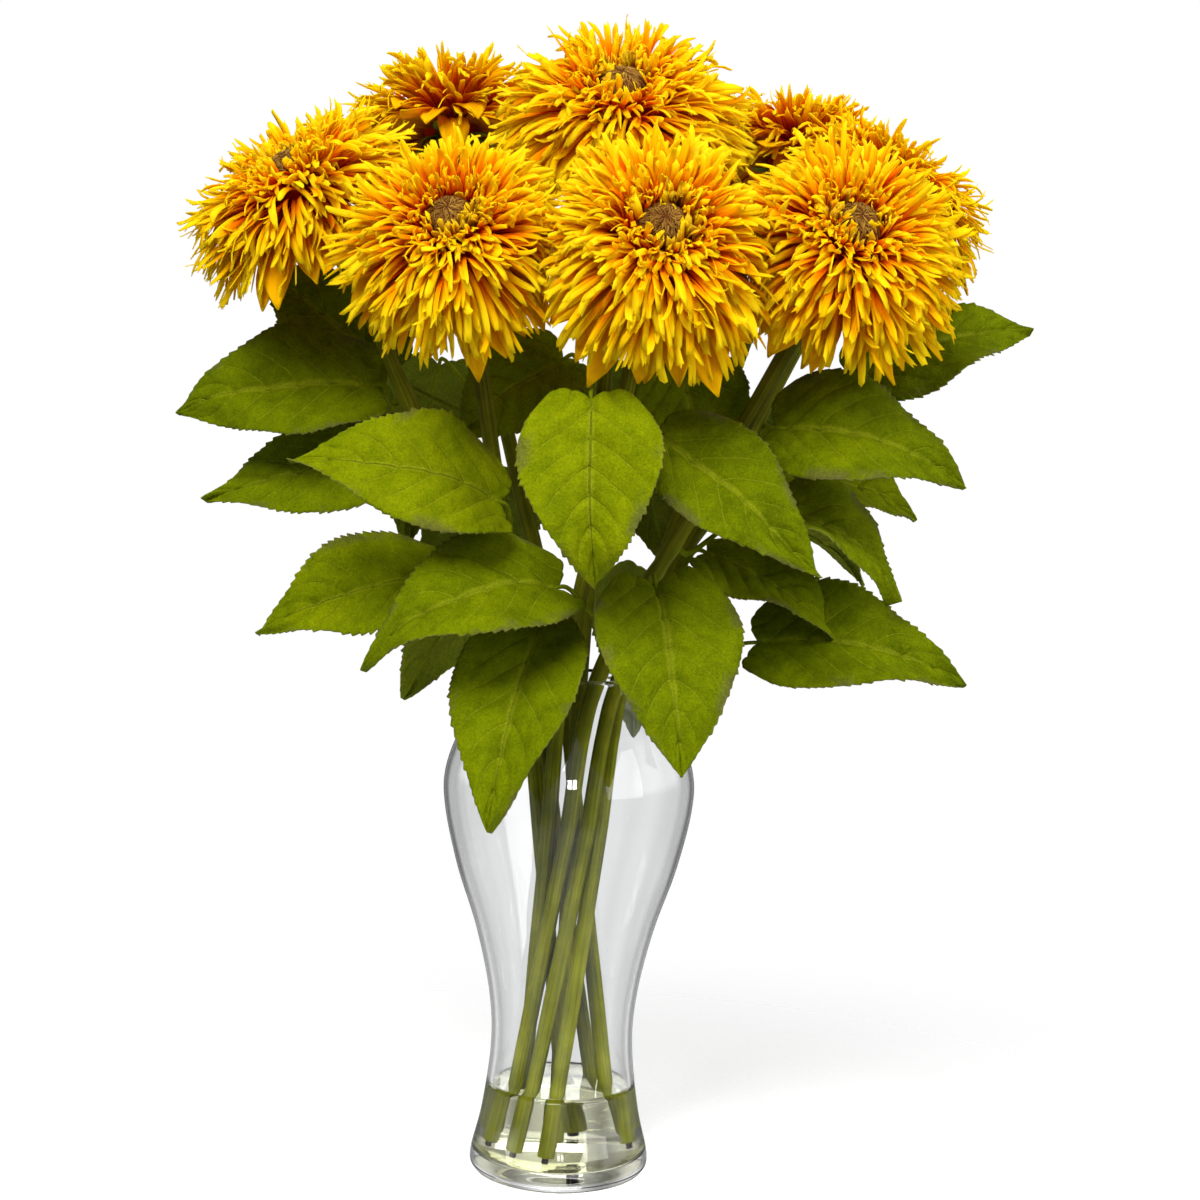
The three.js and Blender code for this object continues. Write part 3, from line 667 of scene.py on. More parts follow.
def add_blades(body, blades, segments, lanes, shape, thickness, index, ragged=None):
    """Adds the blades to the body, let down by their sag and pressed back from the next heads."""
    head = HEADS[index]
    p = blades.columns()
    s = np.linspace(0, 1, segments + 1)
    down = turn_of(head.faces).T @ -UP
    points = blade_points(p, segments, lanes, shape, thickness, ragged)
    points = points + (p["sag"][:, None] * s ** 2)[:, :, None, None] * down
    points = to_world(pressed(points * head.size, planes_of(index), p["past"][:, None, None]), index)
    quads, flat = blade_faces(segments, lanes)
    count, each = len(points), (segments + 1) * 2 * lanes
    lane = np.linspace(-1, 1, lanes)
    body.add(
        points, repeated(quads, count, each), np.tile(flat, count),
        along=np.tile(np.repeat(s, 2 * lanes), count),
        across=np.tile(np.concatenate([lane, lane[::-1]]), count * (segments + 1)),
        tone=np.repeat(p["tone"], each), kind=np.repeat(p["kind"], each),
    )


# Half widths along a blade, as shares of its length and of its half width.
STRAP_SHAPE = ([0, 0.3, 0.6, 0.85, 0.95, 1], [0.65, 0.8, 0.95, 1.0, 0.8, 0.35])
RAY_SHAPE = ([0, 0.15, 0.35, 0.55, 0.7, 0.85, 0.95, 1], [0.35, 0.55, 0.86, 1.0, 0.92, 0.58, 0.22, 0.04])
CENTRE_SHAPE = ([0, 0.3, 0.75, 0.93, 1], [0.55, 0.8, 1.0, 0.85, 0.45])
END_WIDTHS = (0.6, 2.5)  # of a strap's cut end, as shares of its shape's last width
END_CUTS = (-0.6, 0.4)  # how far each lane of it reaches past the end, as shares of the strap's width

# The fringed layers from the back to the front: radius and height of the root, rise, droop, length, petals
# in the layer, straps that each is cut into, width of a strap, and how loosely they lie.
LAYERS = [
    (17.0, 3.0, -6, 36, 40.0, 15, 7, 3.1, 0.8),
    (18.2, 5.0, 3, 36, 39.0, 15, 7, 3.1, 0.85),
    (18.8, 7.0, 12, 36, 37.0, 15, 7, 3.1, 0.95),
    (18.8, 9.0, 22, 34, 34.5, 15, 6, 3.1, 1.05),
    (18.3, 10.8, 32, 32, 31.5, 15, 6, 3.0, 1.2),
    (17.3, 12.4, 42, 32, 27.5, 14, 6, 2.9, 1.35),
    (16.2, 13.7, 51, 30, 22.5, 14, 6, 2.8, 1.55),
    (15.0, 14.7, 60, 26, 17.5, 13, 6, 2.7, 1.8),
    (13.8, 15.5, 69, 20, 13.5, 13, 5, 2.7, 2.0),
    (12.8, 16.1, 78, 16, 10.5, 12, 5, 2.7, 2.3),
]
LONGEST = 1.1  # of a strap, as a share of its layer's length
PETAL_ROOT = 3.6  # half the width of a fringed petal's root


def put_straps(blades, layer, rng):
    """One fringed layer: a ring of petals, each cut into straps from its outer end."""
    radius, height, rise, droop, length, petals, straps, width, loose = layer
    for petal in range(petals):
        bearing = TURN * (petal + rng.uniform(0, 1)) / petals
        lift, reach = rng.normal(0, 4.5 * loose), rng.normal(0, 0.07)
        roll, sink = rng.normal(0, 0.2 * loose), rng.normal(0, 5 * loose)
        tint = rng.uniform(0.15, 0.85) - 0.14 * (loose - 1)
        for strap in range(straps):
            q = (strap - (straps - 1) / 2) / (straps / 2)  # from about -1 to 1 across the petal
            blades.put(
                bearing=bearing, radius=radius + rng.normal(0, 0.5), height=height + rng.normal(0, 0.6),
                offset=q * PETAL_ROOT,
                heading=bearing + q * math.pi / petals * 1.2 + rng.normal(0, 0.13 * loose),
                rise=math.radians(rise + lift + roll * q * 22 + rng.normal(0, 6.5 * loose)),
                droop=math.radians(droop + sink + rng.normal(0, 9)),
                bend=rng.normal(0, 0.3 * loose), curl=rng.normal(0.0, 0.5 * min(loose, 1.8)),
                sag=rng.uniform(0.5, 4.5),
                twist0=roll + rng.normal(0, 0.16 * loose), twist=rng.normal(0, 0.42 * loose),
                length=length * min(1 + reach - 0.06 * q * q + rng.normal(0, 0.075), LONGEST),
                width=width * rng.uniform(0.55, 1.2), cup=rng.normal(0.04, 0.14),
                tone=min(max(tint + rng.normal(0, 0.17), 0), 1), kind=STRAP, past=rng.uniform(-2, 9),
            )


CENTRE_STRAPS, CENTRE_CLUSTERED, CENTRE_OLIVE = 56, 40, 30  # round the disc, of these in clusters, and olive


def put_centre(blades, rng):
    """Short loose straps, many of them olive, that lean over the seed disc, most of them in clusters."""
    clusters = rng.uniform(0, TURN, 4)
    for i in range(CENTRE_STRAPS):
        clustered = i < CENTRE_CLUSTERED
        bearing = clusters[i % 4] + rng.normal(0, 0.42) if clustered else rng.uniform(0, TURN)
        blades.put(
            bearing=bearing, radius=rng.uniform(10.4, 13.0), height=16 + rng.normal(0, 0.6),
            offset=rng.normal(0, 1.0), heading=bearing + rng.normal(0, 0.5),
            rise=math.radians(rng.uniform(65, 138)), droop=math.radians(rng.uniform(-30, 60)),
            bend=rng.normal(0, 0.5), curl=rng.normal(0, 0.6),
            twist0=rng.normal(0, 0.5), twist=rng.normal(0, 0.7),
            length=rng.uniform(7, 13), width=rng.uniform(2.4, 4.2), cup=rng.normal(0.05, 0.15),
            tone=rng.uniform(0, 1), kind=OLIVE if i < CENTRE_OLIVE else STRAP,
        )


RAYS = 13  # in each of two rings
RAY_RINGS = ((-12, 46, 1.2), (-5, 43.5, 2.5))  # rise in degrees, length, height of the root


def put_rays(blades, rng):
    """The broad plain rays below the straps."""
    for bearing, rise, length, height in ringed(RAY_RINGS, RAYS, rng):
        blades.put(
            bearing=bearing, radius=13.5, height=height, heading=bearing + rng.normal(0, 0.07),
            rise=math.radians(rise + rng.normal(0, 6)), droop=math.radians(44 + rng.normal(0, 10)),
            bend=rng.normal(0, 0.12), curl=rng.normal(0, 0.4), sag=rng.uniform(1, 6),
            twist0=rng.normal(0, 0.1), twist=rng.normal(0, 0.35),
            length=length * (1 + rng.normal(0, 0.06)), width=rng.uniform(13.0, 17.5),
            cup=rng.uniform(0.05, 0.3), pleat=rng.uniform(0.15, 0.4),
            tone=rng.uniform(0.2, 0.9), kind=RAY, past=rng.uniform(-1, 4),
        )


# The core under the petals: radius and height. Above the last height it is olive, as the straps there.
CORE = [
    (0, 0.2), (9, 0.2), (14, 1.5), (17.5, 4), (18.5, 7.5), (17.5, 11.5), (14.5, 14.5), (11, 16.4), (0, 16.4),
]
CORE_OLIVE = 15.0
RAY_CLOTH, STRAP_CLOTH, SEPAL_CLOTH = 0.4, 0.36, 0.5  # thickness


def add_bloom(index):
    """A head: the petals with their core, the seed disc and the green calyx."""
    number = index + 1
    rng, ragged = (np.random.default_rng(seed + number) for seed in (BLOOM_SEED, ENDS_SEED))
    body = Body("along", "across", "tone", "kind")
    points, faces = revolve(CORE, 40)
    kind = np.where(points[:, 2] > CORE_OLIVE, OLIVE, STRAP)
    body.add(to_world(points * HEADS[index].size, index), faces, tone=0.3, kind=kind)
    rays, straps, centre = Blades(), Blades(), Blades()
    put_rays(rays, rng)
    for layer in LAYERS:
        put_straps(straps, layer, rng)
    put_centre(centre, rng)
    add_blades(body, rays, 12, 7, RAY_SHAPE, RAY_CLOTH, index)
    add_blades(body, straps, 9, 3, STRAP_SHAPE, STRAP_CLOTH, index, ragged)
    add_blades(body, centre, 6, 3, CENTRE_SHAPE, STRAP_CLOTH, index, ragged)
    body.piece(f"petals_{number}", PETAL, "petals", [f"bloom_{number}"])
    add_disc(index, rng)
    add_calyx(index, rng)


DISC_RADIUS, DISC_RISE, DISC_FOOT = 10.2, 8.8, 16.4
DISC_FIBRES = 1300
DISC_SPREAD = 1.75  # angle from the top of the dome out to the last of them
FIBRE_SIDES = 3
# Along a fibre: how far along it, its share of how far it stands off, its share of its width, its paleness.
FIBRE_STEPS = [(0, 0, 0.9, 0.02), (0.35, 0.6, 1.0, 0.08), (0.7, 1.0, 0.7, 0.2), (1.0, 0.75, 0.15, 0.3)]


def on_disc(polar, bearing, off):
    """A point on the seed disc's dome, that far off its face."""
    way = np.stack([np.sin(polar) * np.cos(bearing), np.sin(polar) * np.sin(bearing), np.cos(polar)], -1)
    face = way * vec(DISC_RADIUS, DISC_RADIUS, DISC_RISE)
    return face + unit(way * vec(1, 1, 1.2)) * off[..., None] + UP * DISC_FOOT


def add_disc(index, rng):
    """The seed disc: a dome thatched with short fibres that run down from its top."""
    size, number = HEADS[index].size, index + 1
    body = Body("along", "tone")
    slopes = np.linspace(0.06, 1.9, 14)  # from near the top of the dome to under its widest
    dome = [(DISC_RADIUS * math.sin(a), DISC_FOOT + DISC_RISE * math.cos(a)) for a in slopes]
    profile = [(0, dome[-1][1]), *dome[::-1], (0, DISC_FOOT + DISC_RISE)]
    points, faces = revolve(profile, 36)
    lift = np.clip((points[:, 2] - DISC_FOOT) / DISC_RISE, 0, 1)
    body.add(to_world(points * size, index), faces, along=lift * 0.45, tone=0.1)
    share = (np.arange(DISC_FIBRES) + 0.5) / DISC_FIBRES
    polar = DISC_SPREAD * share ** 0.5
    bearing = np.arange(DISC_FIBRES) * math.pi * (3 - math.sqrt(5))  # by the golden angle
    long = rng.uniform(0.2, 0.6, DISC_FIBRES)
    lean = rng.normal(0, 0.16, DISC_FIBRES) / np.maximum(np.sin(polar), 0.25)
    stand = rng.uniform(0.15, 0.75, DISC_FIBRES)
    wide = rng.uniform(0.16, 0.34, DISC_FIBRES)
    parts, raised, widths, paleness = zip(*FIBRE_STEPS)
    line = np.stack([
        on_disc(polar + long * part, bearing + lean * part, 0.05 + stand * up)
        for part, up in zip(parts, raised)
    ], 1)
    along = unit(np.gradient(line, axis=1))
    side = unit(np.cross(along, vec(0.31, 0.17, 0.93)))
    ring = circle(side[:, :, None], np.cross(along, side)[:, :, None], around(FIBRE_SIDES)[:, None])
    tubes = line[:, :, None] + ring * np.array(widths)[None, :, None, None] * wide[:, None, None, None]
    quads, each = ring_faces(len(parts), FIBRE_SIDES), len(parts) * FIBRE_SIDES
    faces = repeated(quads, DISC_FIBRES, each)[:, ::-1]
    pale = np.clip(np.cos(polar), 0, 1)[:, None] ** 1.4 * 0.72 + np.array(paleness)
    body.add(
        to_world(tubes.reshape(-1, 3) * size, index), faces, along=np.repeat(pale.reshape(-1), FIBRE_SIDES),
        tone=np.repeat(rng.uniform(0, 1, DISC_FIBRES), each),
    )
    body.piece(f"seed_disc_{number}", DISC, "disc", [f"disc_{number}"])


# The green cup behind the bloom: radius and height.
CUP = [(0, -13.4), (3.4, -13.0), (4.2, -10.5), (5.2, -7.5), (7.2, -4), (9.6, -1.2), (9.6, 0.6), (0, 0.6)]
SEPALS = 10  # in each of two rings
SEPAL_RINGS = ((-14, 17, -0.6), (-26, 14, -2.6))  # rise in degrees, length, height of the root


def add_calyx(index, rng):
    """The cup with its small green sepals, pressed against the back of the bloom."""
    sepals = Blades()
    for bearing, rise, length, height in ringed(SEPAL_RINGS, SEPALS, rng):
        sepals.put(
            bearing=bearing, radius=5.5, height=height, heading=bearing,
            rise=math.radians(rise + rng.normal(0, 5)), droop=math.radians(18 + rng.normal(0, 10)),
            bend=rng.normal(0, 0.1), curl=rng.normal(-0.2, 0.4), twist=rng.normal(0, 0.2),
            length=length * rng.uniform(0.9, 1.1), width=rng.uniform(5.2, 6.6), cup=-0.15, pleat=0.12,
            tone=rng.uniform(0, 1),
        )
    body = Body("along", "across", "tone", "kind")
    add_blades(body, sepals, 6, 5, RAY_SHAPE, SEPAL_CLOTH, index)
    points, faces = revolve(CUP, 32)
    body.add(to_world(points * HEADS[index].size, index), faces, along=0.3, tone=0.4)
    body.piece(f"calyx_{index + 1}", CALYX, "stem", [])


# ---- Stems ----

STEM_RIBS, RIB_DEPTH = 7, 0.055  # the depth as a share of the stem's radius
KNOT, KNOT_LENGTH = 0.16, 4.0  # how much it swells where a leaf grows, and over what length
STEM_SIDES, WIRE_SIDES, PETIOLE_SIDES = 84, 24, 14
STRAIGHT = 34  # length of stem, at a head's usual size, that stands square to it


def stem_line(index):
    """Straight from the foot to the neck of the vase, then on to the head, which it meets square."""
    head = HEADS[index]
    normal, centre = unit(vec(*head.faces)), vec(*head.at)
    low, throat = vec(*head.foot, STEM_FOOT), vec(*head.neck, NECK_HEIGHT)
    under = centre - normal * STRAIGHT * head.size
    inside = [low + (throat - low) * share for share in (0.33, 0.67)]
    return centripetal([low, *inside, throat, (throat + under) / 2, under, centre - normal * GAP], 24)


STEM_LINES = [stem_line(i) for i in range(len(HEADS))]


def stem_at(index, height):
    """The point of a stem's middle line at a height, and the way it runs there."""
    line = STEM_LINES[index]
    k = int(np.argmax(line[:, 2] > height))
    along = line[k] - line[k - 1]
    return line[k - 1] + along * (height - line[k - 1][2]) / along[2], unit(along)


def add_stem(index):
    """The ribbed coating, a little swollen where a leaf grows, and the wire at its cut end."""
    number = index + 1
    rng = np.random.default_rng(STEM_SEED + number)
    line = STEM_LINES[index]
    along, side, other = tube_frames(line)
    turn = around(STEM_SIDES)
    far = distances(line)
    phase = rng.uniform(0, TURN)
    swell = 1 + 0.03 * np.sin(far / 31 + phase) + 0.02 * np.sin(far / 13 + 2 * phase)
    for height in [leaf.root for leaf in LEAVES if leaf.stem == number]:
        swell = swell + KNOT * np.exp(-(((line[:, 2] - height) / KNOT_LENGTH) ** 2))
    swell[0] *= 0.97
    depth = RIB_DEPTH * (0.7 + 0.3 * np.sin(far / 50 + phase))[:, None]
    ridges = 0.4 - np.abs(np.sin(STEM_RIBS * (turn + phase) / 2))[None]
    radius = STEM_RADIUS * swell[:, None] * (1 + depth * ridges + 0.02 * np.cos(2 * turn + phase)[None])
    points = line[:, None] + circle(side[:, None], other[:, None], turn[:, None]) * radius[..., None]
    body = Body("along", "across")
    body.add(
        points, ring_faces(len(line), STEM_SIDES),
        along=np.repeat(far, STEM_SIDES), across=np.tile(turn / TURN, len(line)),
    )
    cut = fan(STEM_SIDES, STEM_SIDES)
    body.add(np.concatenate([points[0], [line[0]]]), cut, [True] * len(cut), across=0.5)
    body.piece(f"stem_rod_{number}", STEM, "stem", [f"stem_{number}"])
    add_wire(number, line[0], along[0], side[0], other[0])


def add_wire(number, foot, along, side, other):
    """The bare end of the steel core, its cut edge a little rounded."""
    rows = [(-WIRE_BARE, 0.82), (-WIRE_BARE + 0.25, 1.0), (-WIRE_BARE * 0.5, 0.98), (4, 1.0)]
    ring = circle(side, other, around(WIRE_SIDES)[:, None]) * WIRE_RADIUS
    rings = [foot + along * place + ring * share for place, share in rows]
    points = np.concatenate([*rings, [foot - along * WIRE_BARE]])
    walls, cap = ring_faces(len(rows), WIRE_SIDES), fan(len(rows) * WIRE_SIDES, WIRE_SIDES)
    body = Body()
    body.add(points, walls + cap, [False] * len(walls) + [True] * len(cap))
    body.piece(f"wire_{number}", WIRE, "wire", [f"wire_end_{number}"])


# ---- Leaves ----

STATIONS, LANES = 161, 35  # of a leaf's grid, along and across
LEAF_TEETH = 26  # on each side
LEAF_CLOTH = 0.5  # thickness
CURL_FROM = 0.72  # share of the length at which the end starts to curl
LEAF_RIB = 0.75  # how far the petiole's line runs under the blade
# A petiole's radius, from the stem to where it ends as the midrib.
PETIOLE_RADII = [2.2, 1.6, 1.3, 1.2, 0.8, 0.35]
# How far the lobes reach back, as shares of the half width and of LOBE.
LOBE_SHAPE = ([0, 0.05, 0.3, 0.62, 0.85, 1], [0.35, 0.45, 0.85, 1.0, 0.8, 0.25])


def blade_half(share):
    """Half the width of the blade at a share of its length, about 1 at the widest."""
    share = np.clip(share, 0, 1)
    return np.sin(math.pi * share ** 0.6) ** 0.85 * (1 - 0.25 * share * share)


def saw(s, heights, offset):
    """A saw edge whose teeth point to the tip, each with its own height."""
    place = (s + 0.016 * np.sin(11 * s + 7 * offset)) * LEAF_TEETH + offset
    tooth = np.floor(place).astype(int) % len(heights)
    part = place - np.floor(place)
    return np.where(part < 0.75, part / 0.75, (1 - part) / 0.25) * heights[tooth]


def leaf_outline(width, length, rng):
    """Shares along the midrib and distances across it of every grid point of the toothed blade."""
    s = np.linspace(0, 1, STATIONS)[:, None]
    t = np.linspace(-1, 1, LANES)[None]
    reach = np.abs(t)
    u = s - LOBE * np.interp(reach, *LOBE_SHAPE) * (1 - s) ** 9
    half = blade_half(s + 0.066 * (1 - s) ** 6) * width / 2
    left, right = (saw(s, rng.uniform(0.1, 1.3, 40), rng.uniform(0, 1)) for _ in range(2))
    teeth = np.where(t < 0, left, right) * (1 - s ** 6) * np.minimum(s * 9, 1)
    teeth = teeth * np.interp(reach, [0, 0.86, 1], [0, 0, 1]) * rng.uniform(0.85, 1.4)
    sway = rng.uniform(-2.6, 2.6) * np.sin(math.pi * np.clip(u, 0, 1)) ** 2
    return u + teeth * 0.8 / length, np.sign(t) * (reach * half * 0.99 + teeth * 1.1) + sway, t


def leaf_relief(u, v, t, width, rng):
    """Height of the cloth over the flat blade: the solid's wave, and over it the cloth's own relief."""
    reach, share = np.abs(t), np.clip(u, 0, 1)
    a, b, c, d = rng.uniform(0, TURN, 4)
    wave = LEAF_WAVE * np.sin(3 * math.pi * u) * (2 * v / width) ** 2 * np.sign(v)
    wave += 2.6 * np.sin(6.5 * share + a + 1.3 * t) * reach ** 1.4
    wave += 1.5 * np.sin(15 * share + b + 2 * t) * reach ** 2.2
    wave += 1.4 * np.sin(4.2 * share + c) * np.cos(2.2 * t + a)
    wave += 1.25 * np.sin(11 * share + d) * np.sin(4.5 * t + c) * (1 - reach ** 4)
    lean_base, lean_less, lean_power = VEIN_LEAN
    phase = (share - (lean_base - lean_less * share) * reach ** lean_power) * VEINS + VEIN_PHASE
    near = np.abs(phase - np.floor(phase) - 0.5)
    quilt = -1.25 * np.exp(-((near / 0.15) ** 2)) * (1 - reach ** 3) * np.minimum((1 - share) * 5, 1)
    rib = -1.4 * np.exp(-((t * width / 4.2) ** 2))
    droop = -4.2 * np.maximum(reach - 0.5, 0) ** 1.6 * (1 + 0.8 * np.sin(5 * share + b))
    return wave + quilt + rib + droop


def leaf_surface(leaf, rng):
    """Every grid point of a leaf's middle surface: its place, its share along and its share across."""
    base, chord = vec(*leaf.base), vec(*leaf.tip) - vec(*leaf.base)
    length = np.linalg.norm(chord)
    along = chord / length
    face = vec(*leaf.faces)
    face = unit(face - along * face.dot(along))
    side = np.cross(face, along)
    u, v, t = leaf_outline(leaf.width, length, rng)
    bow = leaf.bow * 4  # four times the rise at mid length, as a parabola takes it
    slope = np.arctan2(bow * (1 - 2 * u), length)[..., None]
    up = face * np.cos(slope) - along * np.sin(slope)
    fold = LEAF_FOLD * rng.uniform(0.85, 1.2)
    lift = np.abs(v) * math.sin(fold) + leaf_relief(u, v, t, leaf.width, rng)
    point = base + chord * u[..., None] + face * (bow * u * (1 - u))[..., None]
    point = point + side * (v * math.cos(fold))[..., None] + up * lift[..., None]
    hinge = base + chord * CURL_FROM + face * (bow * CURL_FROM * (1 - CURL_FROM))
    angle = math.radians(leaf.curl) / 2 * np.clip((u - CURL_FROM) / (1 - CURL_FROM), 0, 1)
    past = (point - hinge) @ along
    point = point + along * (past * (np.cos(angle) - 1))[..., None]
    point = point - face * (np.maximum(past, 0) * np.sin(angle))[..., None]
    return point, np.clip(u, 0, 1), np.broadcast_to(t, u.shape)


def add_leaf(number, leaf):
    """The blade as a thin sheet with cut edges, and its petiole."""
    rng = np.random.default_rng(LEAF_SEED + number)
    point, u, t = leaf_surface(leaf, rng)
    normal = unit(np.cross(np.gradient(point, axis=0), np.gradient(point, axis=1)) + 1e-9)
    top, bottom = point + normal * LEAF_CLOTH / 2, point - normal * LEAF_CLOTH / 2
    size = STATIONS * LANES
    sheet = ring_faces(STATIONS, LANES, closed=False)
    index = np.arange(size).reshape(STATIONS, LANES)
    edge = [*index[:, 0], *index[-1, 1:], *index[::-1, -1][1:], *index[0, ::-1][1:-1]]
    walls = [(a, a + size, b + size, b) for a, b in zip(edge, [*edge[1:], edge[0]])]
    faces = [f[::-1] for f in sheet] + [tuple(i + size for i in f) for f in sheet] + walls
    tone = rng.uniform(0, 1)
    body = Body("along", "across", "tone", "under")
    body.add(
        np.concatenate([top.reshape(-1, 3), bottom.reshape(-1, 3)]), faces,
        [False] * (2 * len(sheet)) + [True] * len(walls),
        along=np.tile(u.reshape(-1), 2), across=np.tile(t.reshape(-1), 2), tone=tone,
        under=np.repeat([0.0, 1.0], size),
    )
    add_petiole(body, leaf, point, normal, tone)
    body.piece(f"leaf_blade_{number:02d}", LEAF, "leaf", [f"leaf_{number:02d}"])


def add_petiole(body, leaf, point, normal, tone):
    """The leaf's stalk, from inside the stem, which runs on as a rib under the middle of the blade."""
    base = vec(*leaf.base)
    at, way = stem_at(leaf.stem - 1, leaf.root)
    middle = LANES // 2
    into = unit(point[11, middle] - point[0, middle])
    bend = base - into * PETIOLE_BEND
    out = bend - at
    out = unit(out - way * out.dot(way))
    start = at + out * (STEM_RADIUS + GAP)
    rib = [
        point[k, middle] - normal[k, middle] * (LEAF_RIB if k > 4 else 0.2)
        for k in np.linspace(2, STATIONS - 7, 10).astype(int)
    ]
    under = base + (point[0, middle] - base) * 0.6
    line = centripetal([at + out, start, start + out * 5, bend, under, *rib], 8)
    _, left, right = tube_frames(line)
    far = distances(line)
    radius = np.interp(far, [0, 4, 12, 24, far[-1] * 0.5, far[-1]], PETIOLE_RADII)
    ring = circle(left[:, None], right[:, None], around(PETIOLE_SIDES)[:, None])
    tube = line[:, None] + ring * radius[:, None, None]
    body.add(tube, ring_faces(len(line), PETIOLE_SIDES), along=0.3, across=0.2, tone=tone, under=0.3)


# ---- Vase and water ----


def vase_lines():
    """The vase's outer outline as a fine smooth line, and the inner one a wall's thickness inside it."""
    outer = spline(VASE_OUTLINE, 12)
    tangent = unit(np.gradient(outer, axis=0))
    return outer, outer + np.stack([-tangent[:, 1], tangent[:, 0]], 1) * VASE_WALL


def inner_wall(top):
    """The inner line from just over the vase's thick floor up to a height."""
    return [(r, z) for r, z in vase_lines()[1] if VASE_FLOOR + 5 < z < top]


def quarter(radius, size, low):
    """A quarter round from a wall of that radius, inwards and down to a floor."""
    turns = np.linspace(0, math.pi / 2, 8)[1:]
    return [(radius - size * (1 - math.cos(a)), low + size * (1 - math.sin(a))) for a in turns]


def add_clear(name, profile, sides, material, slot, node):
    """A turned piece that lets light through: it casts no shadow."""
    body = Body()
    body.add(*revolve(profile, sides))
    body.piece(name, material, slot, [node]).visible_shadow = False


def add_vase():
    """The glass, from the middle of its base, up outside, over the lip and down inside."""
    outer = vase_lines()[0]
    rim = outer[-1]
    wall = inner_wall(rim[1] - 2)
    half = VASE_WALL / 2
    turns = np.linspace(0.2, math.pi - 0.2, 9)
    lip = [(rim[0] - half + math.cos(a) * half, rim[1] - 0.6 + math.sin(a) * 1.55) for a in turns]
    edge = wall[0][0]
    profile = [
        (0, 0.9), (24, 0.9), (30, 0.35), (33, 0.0), *map(tuple, outer[:-1]), *lip, *wall[::-1],
        *quarter(edge, 4.2, VASE_FLOOR), (edge * 0.55, VASE_FLOOR + 0.25), (edge * 0.25, VASE_FLOOR + 0.5),
        (0, VASE_FLOOR + 0.6),
    ]
    add_clear("vase_glass_body", profile, 144, GLASS, "glass", "vase")


def add_water():
    """The clear resin, a hair into the glass, with a low meniscus round its top."""
    wall = [(r + 0.25, z) for r, z in inner_wall(WATER_LEVEL - 1.2)]
    top = wall[-1][0]
    profile = [
        (0, VASE_FLOOR - 0.1), *quarter(wall[0][0], 4.3, VASE_FLOOR - 0.2)[::-1], *wall,
        (top + 0.05, WATER_LEVEL + 0.9), (top - 0.6, WATER_LEVEL + 0.55), (top - 1.6, WATER_LEVEL + 0.15),
        (top - 3.4, WATER_LEVEL), (top * 0.5, WATER_LEVEL), (0, WATER_LEVEL),
    ]
    add_clear("resin_water", profile, 128, WATER, "resin", "water")


# ---- Camera, floor and light ----

# Fitted to the vase in the photograph, which is 1200 pixels wide: 1 m in front, a little above, with a
# slight turn about the line of sight.
PHOTO_WIDTH, PHOTO_FOCAL = 1200.0, 2083.0  # pixels
CAMERA_AT = (0.0123, -1.0, 0.335)
CAMERA_PITCH, CAMERA_ROLL = math.radians(3.25), math.radians(1.7)
FLOOR_LEVEL = -0.0002
FLOOR_FADE = (0.09, 0.5)  # distances between which it fades out
FLOOR_FAINT = 0.8  # how much of it is left out where it is seen through glass


def add_camera():
    data = bpy.data.cameras.new("camera")
    data.sensor_width = 36.0
    data.lens = data.sensor_width * PHOTO_FOCAL / PHOTO_WIDTH
    data.clip_start, data.clip_end = 0.01, 50.0
    camera = add_object("camera", data)
    ahead = Vector((0, math.cos(CAMERA_PITCH), -math.sin(CAMERA_PITCH)))
    over = Vector((0, math.sin(CAMERA_PITCH), math.cos(CAMERA_PITCH)))
    right = Vector((1, 0, 0))
    tilted = right * math.cos(CAMERA_ROLL) + over * math.sin(CAMERA_ROLL)
    crown = over * math.cos(CAMERA_ROLL) - right * math.sin(CAMERA_ROLL)
    rotation = Matrix((tilted, crown, -ahead)).transposed().to_4x4()
    camera.matrix_world = Matrix.Translation(CAMERA_AT) @ rotation
    bpy.context.scene.camera = camera


# Soft boxes: place, height that it points at over the origin, width and height, and watts.
LIGHTS = {
    "key": ((-0.45, -1.4, 1.5), 0.36, (0.9, 0.9), 41),
    "fill": ((1.4, -1.0, 0.7), 0.3, (1.2, 1.2), 17),
    "top": ((0.2, 0.2, 1.7), 0.4, (1.3, 1.3), 12),
    "back": ((0.3, 1.6, 0.9), 0.35, (1.4, 1.0), 10),
}


def add_light(name, place, target, size, power):
    data = bpy.data.lights.new(name, "AREA")
    data.shape = "RECTANGLE"
    data.size, data.size_y = size
    data.energy = power
    light = add_object(name, data)
    light.location = place
    light.rotation_mode = "QUATERNION"
    light.rotation_quaternion = (Vector((0, 0, target)) - Vector(place)).to_track_quat("-Z", "Y")
    light.visible_camera = light.visible_glossy = False


